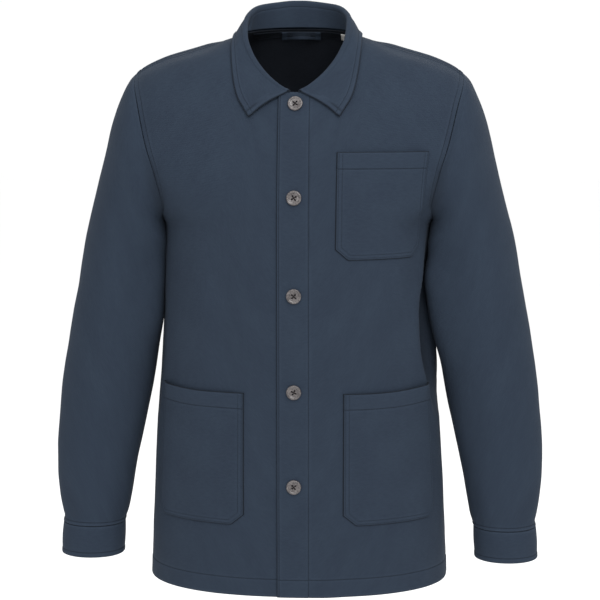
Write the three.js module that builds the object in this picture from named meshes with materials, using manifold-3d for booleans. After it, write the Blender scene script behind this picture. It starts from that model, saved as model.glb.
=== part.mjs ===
import * as THREE from "three";
import Module from "manifold-3d";
import { mergeVertices } from "three/addons/utils/BufferGeometryUtils.js";

// Chore jacket worn by an invisible form, in millimetres, up is +Z and the front faces -Y.
// The origin is midway between the two points where the shoulder seams meet the neck.
// "drop" is the distance below the origin.

// Cloth and seams
const clothThickness = 2.0;
const collarThickness = 2.4;
const cuffThickness = 2.6;
const pocketThickness = 1.8;
const seamGap = 0.3;

// Body sizes
const hemDrop = 759;
const underarmDrop = 262;
const tipDrop = 57;
const tipHalfWidth = 226;
const neckHalfWidth = 75;
const frontNeckDrop = 80;
const backNeckRise = 6;
const overlap = 23;
const underlap = 22;
const shoulderTilt = 0.28;
const bodyPower = 2.25;

// Torso sections from the neck down
const torsoRows = [
  { drop: -14, halfWidth: 34, front: 20, back: 46 },
  { drop: -6, halfWidth: 60, front: 34, back: 58 },
  { drop: 0, halfWidth: 75, front: 42, back: 64 },
  { drop: 9, halfWidth: 101, front: 52, back: 70 },
  { drop: 22, halfWidth: 144, front: 63, back: 78 },
  { drop: 36, halfWidth: 190, front: 72, back: 87 },
  { drop: 52, halfWidth: 221, front: 82, back: 96 },
  { drop: 75, halfWidth: 241, front: 94, back: 107 },
  { drop: 110, halfWidth: 255, front: 109, back: 118 },
  { drop: 150, halfWidth: 256, front: 122, back: 127 },
  { drop: 190, halfWidth: 238, front: 131, back: 132 },
  { drop: 230, halfWidth: 208, front: 137, back: 134 },
  { drop: 262, halfWidth: 186, front: 139, back: 134 },
  { drop: 315, halfWidth: 187, front: 141, back: 131 },
  { drop: 414, halfWidth: 192, front: 141, back: 127 },
  { drop: 515, halfWidth: 199, front: 140, back: 127 },
  { drop: 615, halfWidth: 204, front: 140, back: 130 },
  { drop: 734, halfWidth: 209, front: 139, back: 133 },
  { drop: 780, halfWidth: 210, front: 139, back: 134 },
];

// Armhole seam, half width at the front and at the back
const armholeRows = [
  { drop: 57, front: 226, back: 226 },
  { drop: 71, front: 223.5, back: 223.5 },
  { drop: 100, front: 216, back: 217 },
  { drop: 145, front: 205, back: 209 },
  { drop: 190, front: 191, back: 198 },
  { drop: 230, front: 183, back: 189 },
  { drop: 250, front: 184.3, back: 186 },
  { drop: 262, front: 186, back: 186 },
];

// Largest folds: angle runs 0 at the front centre, 90 at the side seam and 180 at the back centre
const bodyFolds = [
  { side: 1, angle: 66, drop: 345, spread: 12, reach: 80, depth: -15 },
  { side: 1, angle: 46, drop: 330, spread: 10, reach: 90, depth: 3 },
  { side: 1, angle: 100, drop: 560, spread: 14, reach: 130, depth: -5 },
  { side: -1, angle: 70, drop: 350, spread: 11, reach: 95, depth: -7 },
  { side: -1, angle: 27, drop: 430, spread: 9, reach: 120, depth: -4 },
  { side: -1, angle: 104, drop: 600, spread: 13, reach: 120, depth: -5 },
  { side: 1, angle: 140, drop: 430, spread: 12, reach: 130, depth: -5 },
  { side: -1, angle: 143, drop: 460, spread: 12, reach: 130, depth: -6 },
];

// Sleeve rings from the armhole to the cuff
const sleeveRings = [
  { ring: 0, outerX: 226, outerDrop: 57, innerX: 186, innerDrop: 262, frontY: -86, backY: 88 },
  { ring: 1, outerX: 235, outerDrop: 65, innerX: 190, innerDrop: 264, frontY: -88, backY: 90 },
  { ring: 2, outerX: 247, outerDrop: 88, innerX: 191, innerDrop: 267, frontY: -88, backY: 89 },
  { ring: 3, outerX: 258, outerDrop: 119, innerX: 191, innerDrop: 278, frontY: -86, backY: 86 },
  { ring: 4, outerX: 271, outerDrop: 172, innerX: 188, innerDrop: 295, frontY: -82, backY: 81 },
  { ring: 5, outerX: 286, outerDrop: 232, innerX: 188.5, innerDrop: 320, frontY: -77, backY: 75 },
  { ring: 6, outerX: 299, outerDrop: 286, innerX: 190, innerDrop: 352, frontY: -73, backY: 69 },
  { ring: 7, outerX: 309, outerDrop: 342, innerX: 192.2, innerDrop: 392, frontY: -70, backY: 63 },
  { ring: 8, outerX: 320, outerDrop: 399, innerX: 197, innerDrop: 434, frontY: -67, backY: 57 },
  { ring: 9, outerX: 330, outerDrop: 462, innerX: 203.5, innerDrop: 482, frontY: -65, backY: 50 },
  { ring: 10, outerX: 337, outerDrop: 522, innerX: 214, innerDrop: 532, frontY: -64, backY: 43 },
  { ring: 11, outerX: 341, outerDrop: 575, innerX: 225, innerDrop: 581, frontY: -63, backY: 37 },
  { ring: 12, outerX: 341, outerDrop: 610, innerX: 231.5, innerDrop: 613, frontY: -63, backY: 34 },
  { ring: 13, outerX: 339, outerDrop: 642, innerX: 236.5, innerDrop: 643, frontY: -62, backY: 31 },
  { ring: 14, outerX: 335, outerDrop: 668, innerX: 241.5, innerDrop: 668, frontY: -60, backY: 27 },
  { ring: 15, outerX: 333, outerDrop: 682, innerX: 244.5, innerDrop: 682, frontY: -59, backY: 25 },
  { ring: 16, outerX: 334, outerDrop: 691.4, innerX: 246.5, innerDrop: 691.4, frontY: -59, backY: 25 },
];
const sleevePower = 2.1;
const armholeBlendRings = 5;

// Cuff rings
const cuffRings = [
  { ring: 0, outerX: 334, outerDrop: 692, innerX: 246.5, innerDrop: 692, frontY: -59, backY: 25 },
  { ring: 1, outerX: 336, outerDrop: 710, innerX: 247.5, innerDrop: 710, frontY: -60, backY: 26 },
  { ring: 2, outerX: 337, outerDrop: 730, innerX: 248.5, innerDrop: 730, frontY: -60, backY: 26 },
];

// Collar sections: turn is 180 at the back centre, 90 at the shoulder seam, 0 at the front centre
const collarRows = [
  { turn: 180, rollX: 0, rollY: 63, rollZ: 44, edgeX: 0, edgeY: 80 },
  { turn: 155, rollX: 29, rollY: 57, rollZ: 43, edgeX: 38, edgeY: 75 },
  { turn: 130, rollX: 53, rollY: 38, rollZ: 38, edgeX: 69, edgeY: 56 },
  { turn: 110, rollX: 65, rollY: 15, rollZ: 31, edgeX: 84, edgeY: 30 },
  { turn: 95, rollX: 70, rollY: -8, rollZ: 23, edgeX: 88.5, edgeY: 4 },
  { turn: 85, rollX: 71, rollY: -28, rollZ: 14, edgeX: 89, edgeY: -24 },
  { turn: 75, rollX: 70, rollY: -48, rollZ: 1, edgeX: 90.5, edgeY: -46 },
  { turn: 60, rollX: 63, rollY: -68, rollZ: -22, edgeX: 91, edgeY: -67 },
  { turn: 45, rollX: 51, rollY: -82, rollZ: -45, edgeX: 89, edgeY: -84 },
  { turn: 30, rollX: 32, rollY: -92, rollZ: -60, edgeX: 84, edgeY: -94 },
  { turn: 15, rollX: 15.5, rollY: -97, rollZ: -70, edgeX: 74, edgeY: -102 },
  { turn: 8, rollX: 8.5, rollY: -99, rollZ: -73, edgeX: 65, edgeY: -107 },
];
const collarRollRadius = 3.2;
const collarBow = 3;
const collarSideBow = 1;
const collarShift = 1.5;

// Patch pockets: half widths from the front centre at the top and bottom
const pockets = [
  { name: "pocket_chest", side: 1, top: 154, bottom: 297, nearTop: 56, nearBottom: 54, farTop: 178, farBottom: 163, corner: 15, lift: 2.8 },
  { name: "pocket_lower_left", side: 1, top: 477, bottom: 660, nearTop: 66, nearBottom: 66, farTop: 186, farBottom: 193, corner: 15, lift: 0.9 },
  { name: "pocket_lower_right", side: -1, top: 477, bottom: 660, nearTop: 68, nearBottom: 68, farTop: 186, farBottom: 193, corner: 15, lift: 0.9 },
];

// Buttons
const buttonDrops = [92, 214, 344, 474, 604];
const buttonRadius = 10;
const buttonHeight = 3.2;
const buttonWell = 1.1;
const buttonHoleRadius = 0.95;
const buttonHolePitch = 1.7;
const buttonSegments = 28;

// Strips inside the back neck: turns are degrees from the back centre, bow lifts the middle off the cloth,
// and hang is the share by which the lower edge stands off further
const neckStrips = [
  { name: "neck_tape", from: -62, to: 62, steps: 14, top: 0.5, width: 9, gap: 2.0, thickness: 1.0, bow: 0, hang: 0 },
  { name: "hanging_loop", from: -22, to: 22, steps: 12, top: 2, width: 9.5, gap: 3.5, thickness: 1.2, bow: 11, hang: 0.6 },
  { name: "neck_tag", from: 48, to: 58, steps: 3, top: 2, width: 11, gap: 3.5, thickness: 0.8, bow: 0, hang: 0 },
];

// Mesh density
const armholeSteps = 12;
const bodySteps = 14;
const neckColumns = 7;
const shoulderColumns = 6;
const sleeveSteps = 20;
const collarColumns = 34;

const radians = Math.PI / 180;

// Smooth curve through one column of a table
function follow(rows, along, key, at) {
  const last = rows.length - 1;
  let i = 0;
  while (i < last - 1 && at > rows[i + 1][along]) i += 1;
  const slope = (k) => (rows[k + 1][key] - rows[k][key]) / (rows[k + 1][along] - rows[k][along]);
  const tangent = (k) => {
    if (k === 0) return slope(0);
    if (k === last) return slope(last - 1);
    const before = slope(k - 1);
    const after = slope(k);
    return before * after <= 0 ? 0 : (2 * before * after) / (before + after);
  };
  const width = rows[i + 1][along] - rows[i][along];
  const t = Math.min(1, Math.max(0, (at - rows[i][along]) / width));
  const t2 = t * t;
  const t3 = t2 * t;
  return (2 * t3 - 3 * t2 + 1) * rows[i][key] + (t3 - 2 * t2 + t) * width * tangent(i)
    + (3 * t2 - 2 * t3) * rows[i + 1][key] + (t3 - t2) * width * tangent(i + 1);
}

function smooth(from, to, value) {
  const t = Math.min(1, Math.max(0, (value - from) / (to - from)));
  return t * t * (3 - 2 * t);
}

function mix(a, b, t) {
  return a + (b - a) * t;
}

const halfWidthAt = (drop) => follow(torsoRows, "drop", "halfWidth", drop);
const panelWidthAt = (drop) => halfWidthAt(Math.max(drop, 135));
const angleOf = (x, drop) => {
  const share = Math.min(1, Math.abs(x) / panelWidthAt(drop));
  return Math.sign(x) * Math.asin(share ** (bodyPower / 2));
};

// Drop of the shoulder line at a half width
function shoulderDrop(x) {
  let low = -14;
  let high = 110;
  for (let i = 0; i < 50; i += 1) {
    const middle = (low + high) / 2;
    if (halfWidthAt(middle) < x) low = middle;
    else high = middle;
  }
  return (low + high) / 2;
}

function foldAt(x, y, angle, drop) {
  const turn = y <= 0 ? Math.abs(angle) / radians : 180 - Math.abs(angle) / radians;
  let total = 0;
  for (const fold of bodyFolds) {
    const side = smooth(-12, 12, x * fold.side);
    const across = (turn - fold.angle) / fold.spread;
    const along = (drop - fold.drop) / fold.reach;
    total += side * fold.depth * Math.exp(-across * across - along * along);
  }
  return total;
}

// Point and outward normal of the torso; face is -1 in front and 1 behind, lift moves the point out
function torso(face, angle, drop, lift) {
  const key = face < 0 ? "front" : "back";
  const x = Math.sign(angle) * panelWidthAt(drop) * Math.abs(Math.sin(angle)) ** (2 / bodyPower);
  const a = halfWidthAt(drop);
  const b = follow(torsoRows, "drop", key, drop);
  const share = Math.min(1, Math.abs(x) / a) ** bodyPower;
  const rest = 1 - share < 1e-4 ? 0 : 1 - share;
  const y = face * b * rest ** (1 / bodyPower);
  const aSlope = (halfWidthAt(drop + 0.5) - halfWidthAt(drop - 0.5));
  const bSlope = (follow(torsoRows, "drop", key, drop + 0.5) - follow(torsoRows, "drop", key, drop - 0.5));
  const normal = new THREE.Vector3(
    Math.sign(x) * (Math.abs(x) / a) ** (bodyPower - 1) / a,
    face * (Math.abs(y) / b) ** (bodyPower - 1) / b,
    share * aSlope / a + rest * bSlope / b,
  ).normalize();
  const out = foldAt(x, face, angle, drop) + lift;
  const point = new THREE.Vector3(x, y, -drop).addScaledVector(normal, out);
  return { point, normal };
}

// Shoulders roll forward, so the seam sits in front of the highest line
function rollForward(point) {
  const near = smooth(-115, -60, point.z) * smooth(95, 130, Math.abs(point.x));
  point.z += shoulderTilt * point.y * Math.exp(-((point.y / 32) ** 2)) * near;
  return point;
}

// Top edge of a panel: neck seam, then shoulder seam
function topEdge(face, startX, u, neckShare) {
  if (u < neckShare) {
    const start = Math.asin(startX / neckHalfWidth);
    const turn = mix(start, Math.PI / 2, u / neckShare);
    const x = neckHalfWidth * Math.sin(turn);
    return { x, drop: neckDrop(face, turn) };
  }
  const x = mix(neckHalfWidth, tipHalfWidth, (u - neckShare) / (1 - neckShare));
  return { x, drop: shoulderDrop(x) };
}

function neckDrop(face, turn) {
  const cosine = Math.max(0, Math.cos(turn));
  return face < 0 ? frontNeckDrop * cosine ** 1.1 : -backNeckRise * cosine;
}

// Place on a panel of one side: u runs from the centre to the side, v from the top to the hem
function panelPlace(face, startX, u, v, armholeShare, neckShare) {
  const key = face < 0 ? "front" : "back";
  const top = topEdge(face, startX, u, neckShare);
  const topStart = topEdge(face, startX, 0, neckShare);
  const topAngle = angleOf(top.x, top.drop);
  const startDrop = mix(topStart.drop, hemDrop, v);
  const startAngle = angleOf(startX, startDrop);
  let sideAngle = Math.PI / 2;
  let sideDrop = mix(underarmDrop, hemDrop, (v - armholeShare) / (1 - armholeShare));
  if (v < armholeShare) {
    sideDrop = mix(tipDrop, underarmDrop, v / armholeShare);
    sideAngle = angleOf(follow(armholeRows, "drop", key, sideDrop), sideDrop);
  }
  const hemStart = angleOf(startX, hemDrop);
  const hemAngle = mix(hemStart, Math.PI / 2, u);
  const tipAngle = angleOf(tipHalfWidth, tipDrop);
  const angle = mix(topAngle, hemAngle, v) + mix(startAngle, sideAngle, u)
    - mix(mix(angleOf(startX, topStart.drop), tipAngle, u), mix(hemStart, Math.PI / 2, u), v);
  const drop = mix(top.drop, hemDrop, v) + mix(startDrop, sideDrop, u)
    - mix(mix(topStart.drop, tipDrop, u), hemDrop, v);
  return { angle, drop };
}

// Row positions, closer together at the top and bottom of the armhole
function rowShares(armholeShare) {
  const shares = [];
  for (let i = 0; i < armholeSteps; i += 1) {
    shares.push(armholeShare * (1 - Math.cos((Math.PI * i) / armholeSteps)) / 2);
  }
  for (let i = 0; i <= bodySteps; i += 1) {
    shares.push(mix(armholeShare, 1, i / bodySteps));
  }
  return shares;
}

// Column positions, with one column exactly where the shoulder seam meets the neck
function columnShares(neckShare) {
  const shares = [];
  for (let j = 0; j < neckColumns; j += 1) shares.push((neckShare * j) / neckColumns);
  for (let j = 0; j <= shoulderColumns; j += 1) shares.push(mix(neckShare, 1, j / shoulderColumns));
  return shares;
}

// Closed wall between an outer and an inner grid of points
function wall(outer, inner, around) {
  const rows = outer.length;
  const columns = outer[0].length;
  const positions = [];
  for (const grid of [outer, inner]) {
    for (const row of grid) {
      for (const point of row) positions.push(point.x, point.y, point.z);
    }
  }
  const index = [];
  const at = (layer, i, j) => layer * rows * columns + i * columns + (around ? j % columns : j);
  const quad = (a, b, c, d) => index.push(a, b, c, a, c, d);
  const spans = around ? columns : columns - 1;
  for (let i = 0; i < rows - 1; i += 1) {
    for (let j = 0; j < spans; j += 1) {
      quad(at(0, i, j), at(0, i + 1, j), at(0, i + 1, j + 1), at(0, i, j + 1));
      quad(at(1, i, j), at(1, i, j + 1), at(1, i + 1, j + 1), at(1, i + 1, j));
    }
  }
  for (let j = 0; j < spans; j += 1) {
    quad(at(0, 0, j), at(0, 0, j + 1), at(1, 0, j + 1), at(1, 0, j));
    quad(at(0, rows - 1, j), at(1, rows - 1, j), at(1, rows - 1, j + 1), at(0, rows - 1, j + 1));
  }
  if (!around) {
    for (let i = 0; i < rows - 1; i += 1) {
      quad(at(0, i, 0), at(1, i, 0), at(1, i + 1, 0), at(0, i + 1, 0));
      const j = columns - 1;
      quad(at(0, i, j), at(0, i + 1, j), at(1, i + 1, j), at(1, i, j));
    }
  }
  const geometry = new THREE.BufferGeometry();
  geometry.setAttribute("position", new THREE.Float32BufferAttribute(positions, 3));
  geometry.setIndex(faceOut(positions, index));
  return geometry;
}

// Turn the faces round when the wall would face inwards
function faceOut(positions, index) {
  let volume = 0;
  const corner = (k) => new THREE.Vector3().fromArray(positions, index[k] * 3);
  for (let k = 0; k < index.length; k += 3) {
    volume += corner(k).dot(corner(k + 1).cross(corner(k + 2)));
  }
  if (volume > 0) return index;
  const turned = [];
  for (let k = 0; k < index.length; k += 3) turned.push(index[k], index[k + 2], index[k + 1]);
  return turned;
}

// Normals of a grid of points
function gridNormals(grid, around) {
  const rows = grid.length;
  const columns = grid[0].length;
  return grid.map((row, i) => row.map((point, j) => {
    const down = grid[Math.min(rows - 1, i + 1)][j].clone().sub(grid[Math.max(0, i - 1)][j]);
    const next = around ? (j + 1) % columns : Math.min(columns - 1, j + 1);
    const before = around ? (j + columns - 1) % columns : Math.max(0, j - 1);
    return row[next].clone().sub(row[before]).cross(down).normalize();
  }));
}

// Body panels
const frontShare = 0.34;
const frontNeckShare = 0.45;
const backShare = 0.4;
const backNeckShare = 0.36;

const placketLift = (x) => (clothThickness + 1.8 * seamGap) * (1 - smooth(42, 76, x));

function frontGrids(side) {
  const startX = side > 0 ? -overlap : -underlap;
  const outer = [];
  const inner = [];
  for (const v of rowShares(frontShare)) {
    const outerRow = [];
    const innerRow = [];
    for (const u of columnShares(frontNeckShare)) {
      const place = panelPlace(-1, startX, u, v, frontShare, frontNeckShare);
      const { point, normal } = frontPoint(side, place.angle, place.drop);
      outerRow.push(rollForward(point.clone()));
      innerRow.push(rollForward(point.addScaledVector(normal, -clothThickness)));
    }
    outer.push(outerRow);
    inner.push(innerRow);
  }
  return { outer, inner };
}

function frontPanel(side) {
  const { outer, inner } = frontGrids(side);
  return wall(outer, inner, false);
}

// Point of a front panel for the wearer's left (side 1) or right (side -1)
function frontPoint(side, angle, drop) {
  const flat = torso(-1, side * angle, drop, 0);
  const lift = side > 0 ? placketLift(flat.point.x) : 0;
  flat.point.addScaledVector(flat.normal, lift);
  flat.point.y -= seamGap / 2;
  return flat;
}

function backPanel() {
  const outer = [];
  const inner = [];
  const half = columnShares(backNeckShare);
  const across = [...half.slice(1).reverse().map((u) => -u), ...half];
  for (const v of rowShares(backShare)) {
    const outerRow = [];
    const innerRow = [];
    for (const u of across) {
      const place = panelPlace(1, 0, Math.abs(u), v, backShare, backNeckShare);
      const { point, normal } = torso(1, (Math.sign(u) || 1) * place.angle, place.drop, 0);
      point.y += seamGap / 2;
      outerRow.push(rollForward(point.clone()));
      innerRow.push(rollForward(point.addScaledVector(normal, -clothThickness)));
    }
    outer.push(outerRow);
    inner.push(innerRow);
  }
  return wall(outer, inner, false);
}

// Armhole seam of one side, tip, front, underarm, back
function armholeLoop(side) {
  const loop = [];
  const count = armholeSteps * 2;
  for (let k = 0; k < count; k += 1) {
    const face = k <= armholeSteps ? -1 : 1;
    const step = face < 0 ? k : count - k;
    const drop = mix(tipDrop, underarmDrop, (1 - Math.cos((Math.PI * step) / armholeSteps)) / 2);
    const key = face < 0 ? "front" : "back";
    const angle = angleOf(follow(armholeRows, "drop", key, drop), drop);
    const { point, normal } = torso(face, side * angle, drop, 0);
    if (step > 0 && step < armholeSteps) point.y += face * seamGap / 2;
    loop.push({ point: rollForward(point), normal });
  }
  return loop;
}

function ringPoint(rows, side, at, angle) {
  const value = (key) => follow(rows, "ring", key, at);
  const cosine = Math.cos(angle);
  const sine = Math.sin(angle);
  const along = Math.sign(cosine) * Math.abs(cosine) ** (2 / sleevePower);
  const across = -Math.sign(sine) * Math.abs(sine) ** (2 / sleevePower);
  const outerX = value("outerX");
  const innerX = value("innerX");
  const outerZ = -value("outerDrop");
  const innerZ = -value("innerDrop");
  const frontY = value("frontY");
  const backY = value("backY");
  return new THREE.Vector3(
    side * ((outerX + innerX) / 2 + along * (outerX - innerX) / 2),
    (frontY + backY) / 2 + across * (backY - frontY) / 2,
    (outerZ + innerZ) / 2 + along * (outerZ - innerZ) / 2,
  );
}

function sleeve(side) {
  const loop = armholeLoop(side);
  const count = loop.length;
  const last = sleeveRings.length - 1;
  const grid = [];
  for (let i = 0; i <= sleeveSteps; i += 1) {
    const at = last * (i / sleeveSteps) ** 1.12;
    const blend = at < armholeBlendRings ? (1 - at / armholeBlendRings) ** 2 : 0;
    const row = [];
    for (let k = 0; k < count; k += 1) {
      const angle = (2 * Math.PI * k) / count;
      const point = ringPoint(sleeveRings, side, at, angle);
      const shift = loop[k].point.clone().sub(ringPoint(sleeveRings, side, 0, angle));
      row.push(point.addScaledVector(shift, blend));
    }
    grid.push(row);
  }
  for (let k = 0; k < count; k += 1) {
    const away = grid[1][k].clone().sub(grid[0][k]).normalize();
    grid[0][k].addScaledVector(away, seamGap + 0.25);
  }
  const normals = gridNormals(grid, true);
  const flip = side > 0 ? 1 : -1;
  const inner = grid.map((row, i) => row.map((point, k) => {
    const normal = normals[i][k].multiplyScalar(flip);
    if (i === 0) {
      const agree = Math.max(0, normal.dot(loop[k].normal)) ** 2;
      normal.lerp(loop[k].normal, agree).normalize();
    }
    return point.clone().addScaledVector(normal, -clothThickness);
  }));
  return wall(grid, inner, true);
}

function cuff(side) {
  const count = armholeSteps * 2;
  const outer = [];
  const inner = [];
  for (let i = 0; i <= 3; i += 1) {
    const at = (2 * i) / 3;
    const outerRow = [];
    const innerRow = [];
    const middle = ringPoint(cuffRings, side, at, 0).add(ringPoint(cuffRings, side, at, Math.PI)).multiplyScalar(0.5);
    for (let k = 0; k < count; k += 1) {
      const point = ringPoint(cuffRings, side, at, (2 * Math.PI * k) / count);
      const inward = middle.clone().sub(point);
      inward.z = 0;
      outerRow.push(point);
      innerRow.push(point.clone().addScaledVector(inward.normalize(), cuffThickness));
    }
    outer.push(outerRow);
    inner.push(innerRow);
  }
  return wall(outer, inner, true);
}

// Neck seam at a turn from the front centre round to the back centre
function neckSeam(side, turn) {
  const face = turn < 90 ? -1 : 1;
  const reach = (turn < 90 ? turn : 180 - turn) * radians;
  const drop = neckDrop(face, reach);
  const angle = angleOf(neckHalfWidth * Math.sin(reach), drop);
  return torso(face, side * angle, drop, 0);
}

// Drop at which the torso passes through a place in plan
function restDrop(x, y) {
  const key = y < 0 ? "front" : "back";
  let low = -14;
  let high = 150;
  for (let i = 0; i < 40; i += 1) {
    const middle = (low + high) / 2;
    const a = halfWidthAt(middle);
    const b = follow(torsoRows, "drop", key, middle);
    const size = (Math.abs(x) / a) ** bodyPower + (Math.abs(y) / b) ** bodyPower;
    if (size > 1) low = middle;
    else high = middle;
  }
  return (low + high) / 2;
}

// Size of a point against the torso section at its height, 1 on the surface
function torsoSize(x, y, z) {
  const drop = Math.max(-14, -z);
  const a = halfWidthAt(drop);
  const b = follow(torsoRows, "drop", y < 0 ? "front" : "back", drop);
  return ((Math.abs(x) / a) ** bodyPower + (Math.abs(y) / b) ** bodyPower) ** (1 / bodyPower);
}

// Keep a point outside the torso by a clearance
function clearOfTorso(point, clearance) {
  for (let i = 0; i < 4; i += 1) {
    const { x, y, z } = point;
    const size = torsoSize(x, y, z);
    const slope = new THREE.Vector3(
      torsoSize(x + 0.5, y, z) - torsoSize(x - 0.5, y, z),
      torsoSize(x, y + 0.5, z) - torsoSize(x, y - 0.5, z),
      torsoSize(x, y, z + 0.5) - torsoSize(x, y, z - 0.5),
    );
    const distance = (size - 1) / slope.length();
    if (distance >= clearance) return point;
    point.addScaledVector(slope.normalize(), clearance - distance);
  }
  return point;
}

// The collar sits a little to the wearer's right, more so at the back
const shiftAt = (y) => collarShift + 0.03 * Math.max(0, y);

// One collar section, from the neck seam over the roll to the edge of the leaf
function collarSection(along) {
  const side = along < 0 ? -1 : 1;
  const turn = mix(180, collarRows[collarRows.length - 1].turn, Math.abs(along));
  const rows = collarRows.map((row) => ({ ...row, from: 180 - row.turn }));
  const value = (key) => follow(rows, "from", key, 180 - turn);
  const seam = neckSeam(side, turn);
  const ends = smooth(0.8, 1, Math.abs(along));
  const bandLift = turn < 90 ? placketLift(Math.abs(seam.point.x)) : 0;
  const start = seam.point.clone().addScaledVector(seam.normal, bandLift - clothThickness / 2);
  start.z += clothThickness / 2 + seamGap + 1.3 + 0.9 * smooth(0.5, 0.8, Math.abs(along));
  const roll = new THREE.Vector3(side * value("rollX"), value("rollY"), value("rollZ"));
  const edge = new THREE.Vector3(side * value("edgeX"), value("edgeY"), 0);
  roll.x -= shiftAt(roll.y);
  edge.x -= shiftAt(edge.y);
  edge.z = -restDrop(edge.x, edge.y);
  const out = new THREE.Vector3(edge.x - roll.x, edge.y - roll.y, 0).normalize();
  const radius = mix(collarRollRadius, 2.0, ends);
  const centre = roll.clone();
  centre.z -= radius;
  const points = [];
  const foot = centre.clone().addScaledVector(out, -radius);
  for (const t of [0, 0.5]) points.push(start.clone().lerp(foot, t));
  for (let k = 0; k <= 4; k += 1) {
    const arc = (Math.PI * k) / 4;
    const point = centre.clone().addScaledVector(out, -radius * Math.cos(arc));
    point.z += radius * Math.sin(arc);
    points.push(point);
  }
  const head = points[points.length - 1];
  for (const t of [0.34, 0.67, 1]) {
    const point = head.clone().lerp(edge, t);
    const bow = Math.sin(Math.PI * t) * mix(collarBow, collarSideBow, smooth(60, 85, turn));
    point.addScaledVector(out, bow);
    point.z += bow * 0.5;
    points.push(point);
  }
  const clearance = (x) => 2.6 + placketLift(Math.abs(x));
  return points.map((point, k) => (k < 7 ? point : clearOfTorso(point, clearance(point.x))));
}

function collar() {
  const grid = [];
  for (let j = 0; j <= collarColumns; j += 1) {
    grid.push(collarSection(mix(-1, 1, j / collarColumns)));
  }
  const normals = gridNormals(grid, false);
  const shifted = (amount) => grid.map((row, i) => row.map((point, k) => (
    point.clone().addScaledVector(normals[i][k], amount))));
  return wall(shifted(collarThickness / 2), shifted(-collarThickness / 2), false);
}

// Place on the outer face of a panel seen from the front
function restingPoint(grid, x, z) {
  for (let i = 0; i < grid.length - 1; i += 1) {
    for (let j = 0; j < grid[0].length - 1; j += 1) {
      const corners = [grid[i][j], grid[i + 1][j], grid[i + 1][j + 1], grid[i][j + 1]];
      for (const [a, b, c] of [[corners[0], corners[1], corners[2]], [corners[0], corners[2], corners[3]]]) {
        const area = (b.x - a.x) * (c.z - a.z) - (c.x - a.x) * (b.z - a.z);
        const shareB = ((x - a.x) * (c.z - a.z) - (c.x - a.x) * (z - a.z)) / area;
        const shareC = ((b.x - a.x) * (z - a.z) - (x - a.x) * (b.z - a.z)) / area;
        if (shareB >= -1e-6 && shareC >= -1e-6 && shareB + shareC <= 1 + 1e-6) {
          return new THREE.Vector3(x, a.y + shareB * (b.y - a.y) + shareC * (c.y - a.y), z);
        }
      }
    }
  }
  throw new Error(`no cloth at ${x}, ${z}`);
}

// Patch pocket laid on its front panel
function pocket(spec) {
  const panel = frontGrids(spec.side).outer;
  const rowCount = 13;
  const columnCount = 12;
  const height = spec.bottom - spec.top;
  const cornerShare = spec.corner / (spec.farTop - spec.nearTop);
  const columns = [0];
  for (let j = 0; j <= columnCount - 2; j += 1) {
    columns.push(mix(cornerShare, 1 - cornerShare, j / (columnCount - 2)));
  }
  columns.push(1);
  const outer = [];
  const inner = [];
  for (let i = 0; i <= rowCount; i += 1) {
    const outerRow = [];
    const innerRow = [];
    for (const column of columns) {
      const bottom = spec.bottom - (column === 0 || column === 1 ? spec.corner : 0);
      const drop = mix(spec.top, bottom, i / rowCount);
      const share = (drop - spec.top) / height;
      const near = angleOf(mix(spec.nearTop, spec.nearBottom, share), drop);
      const far = angleOf(mix(spec.farTop, spec.farBottom, share), drop);
      const { point: place, normal } = frontPoint(spec.side, mix(near, far, column), drop);
      const point = restingPoint(panel, place.x, place.z);
      innerRow.push(point.clone().addScaledVector(normal, spec.lift));
      outerRow.push(point.addScaledVector(normal, spec.lift + pocketThickness));
    }
    outer.push(outerRow);
    inner.push(innerRow);
  }
  return wall(outer, inner, false);
}

// Strip laid inside the back neck
function neckStrip(spec) {
  const outer = [];
  const inner = [];
  for (let i = 0; i <= spec.steps; i += 1) {
    const share = i / spec.steps;
    const turn = mix(spec.from, spec.to, share);
    const reach = Math.abs(turn) * radians;
    const off = clothThickness + spec.gap;
    const bow = spec.bow * Math.sin(Math.PI * share) ** 2;
    const outerRow = [];
    const innerRow = [];
    for (let k = 0; k <= 2; k += 1) {
      const drop = neckDrop(1, reach) + spec.top + (spec.width * k) / 2;
      const x = neckHalfWidth * Math.sin(reach);
      const { point, normal } = torso(1, (Math.sign(turn) || 1) * angleOf(x, drop), drop, 0);
      point.y -= bow * (1 + (spec.hang * k) / 2);
      outerRow.push(point.clone().addScaledVector(normal, -off));
      innerRow.push(point.addScaledVector(normal, -off - spec.thickness));
    }
    outer.push(outerRow);
    inner.push(innerRow);
  }
  return wall(outer, inner, false);
}

// Solids joined and cut
const wasm = await Module();
wasm.setup();

function solid(geometry) {
  const plain = new THREE.BufferGeometry();
  plain.setAttribute("position", geometry.getAttribute("position").clone());
  if (geometry.index) plain.setIndex(geometry.index.clone());
  const merged = mergeVertices(plain, 1e-4);
  return new wasm.Manifold(new wasm.Mesh({
    numProp: 3,
    vertProperties: new Float32Array(merged.getAttribute("position").array),
    triVerts: new Uint32Array(merged.index.array),
  }));
}

function geometryOf(body) {
  const mesh = body.getMesh();
  const geometry = new THREE.BufferGeometry();
  geometry.setAttribute("position", new THREE.Float32BufferAttribute(mesh.vertProperties, 3));
  geometry.setIndex(Array.from(mesh.triVerts));
  return geometry;
}

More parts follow.
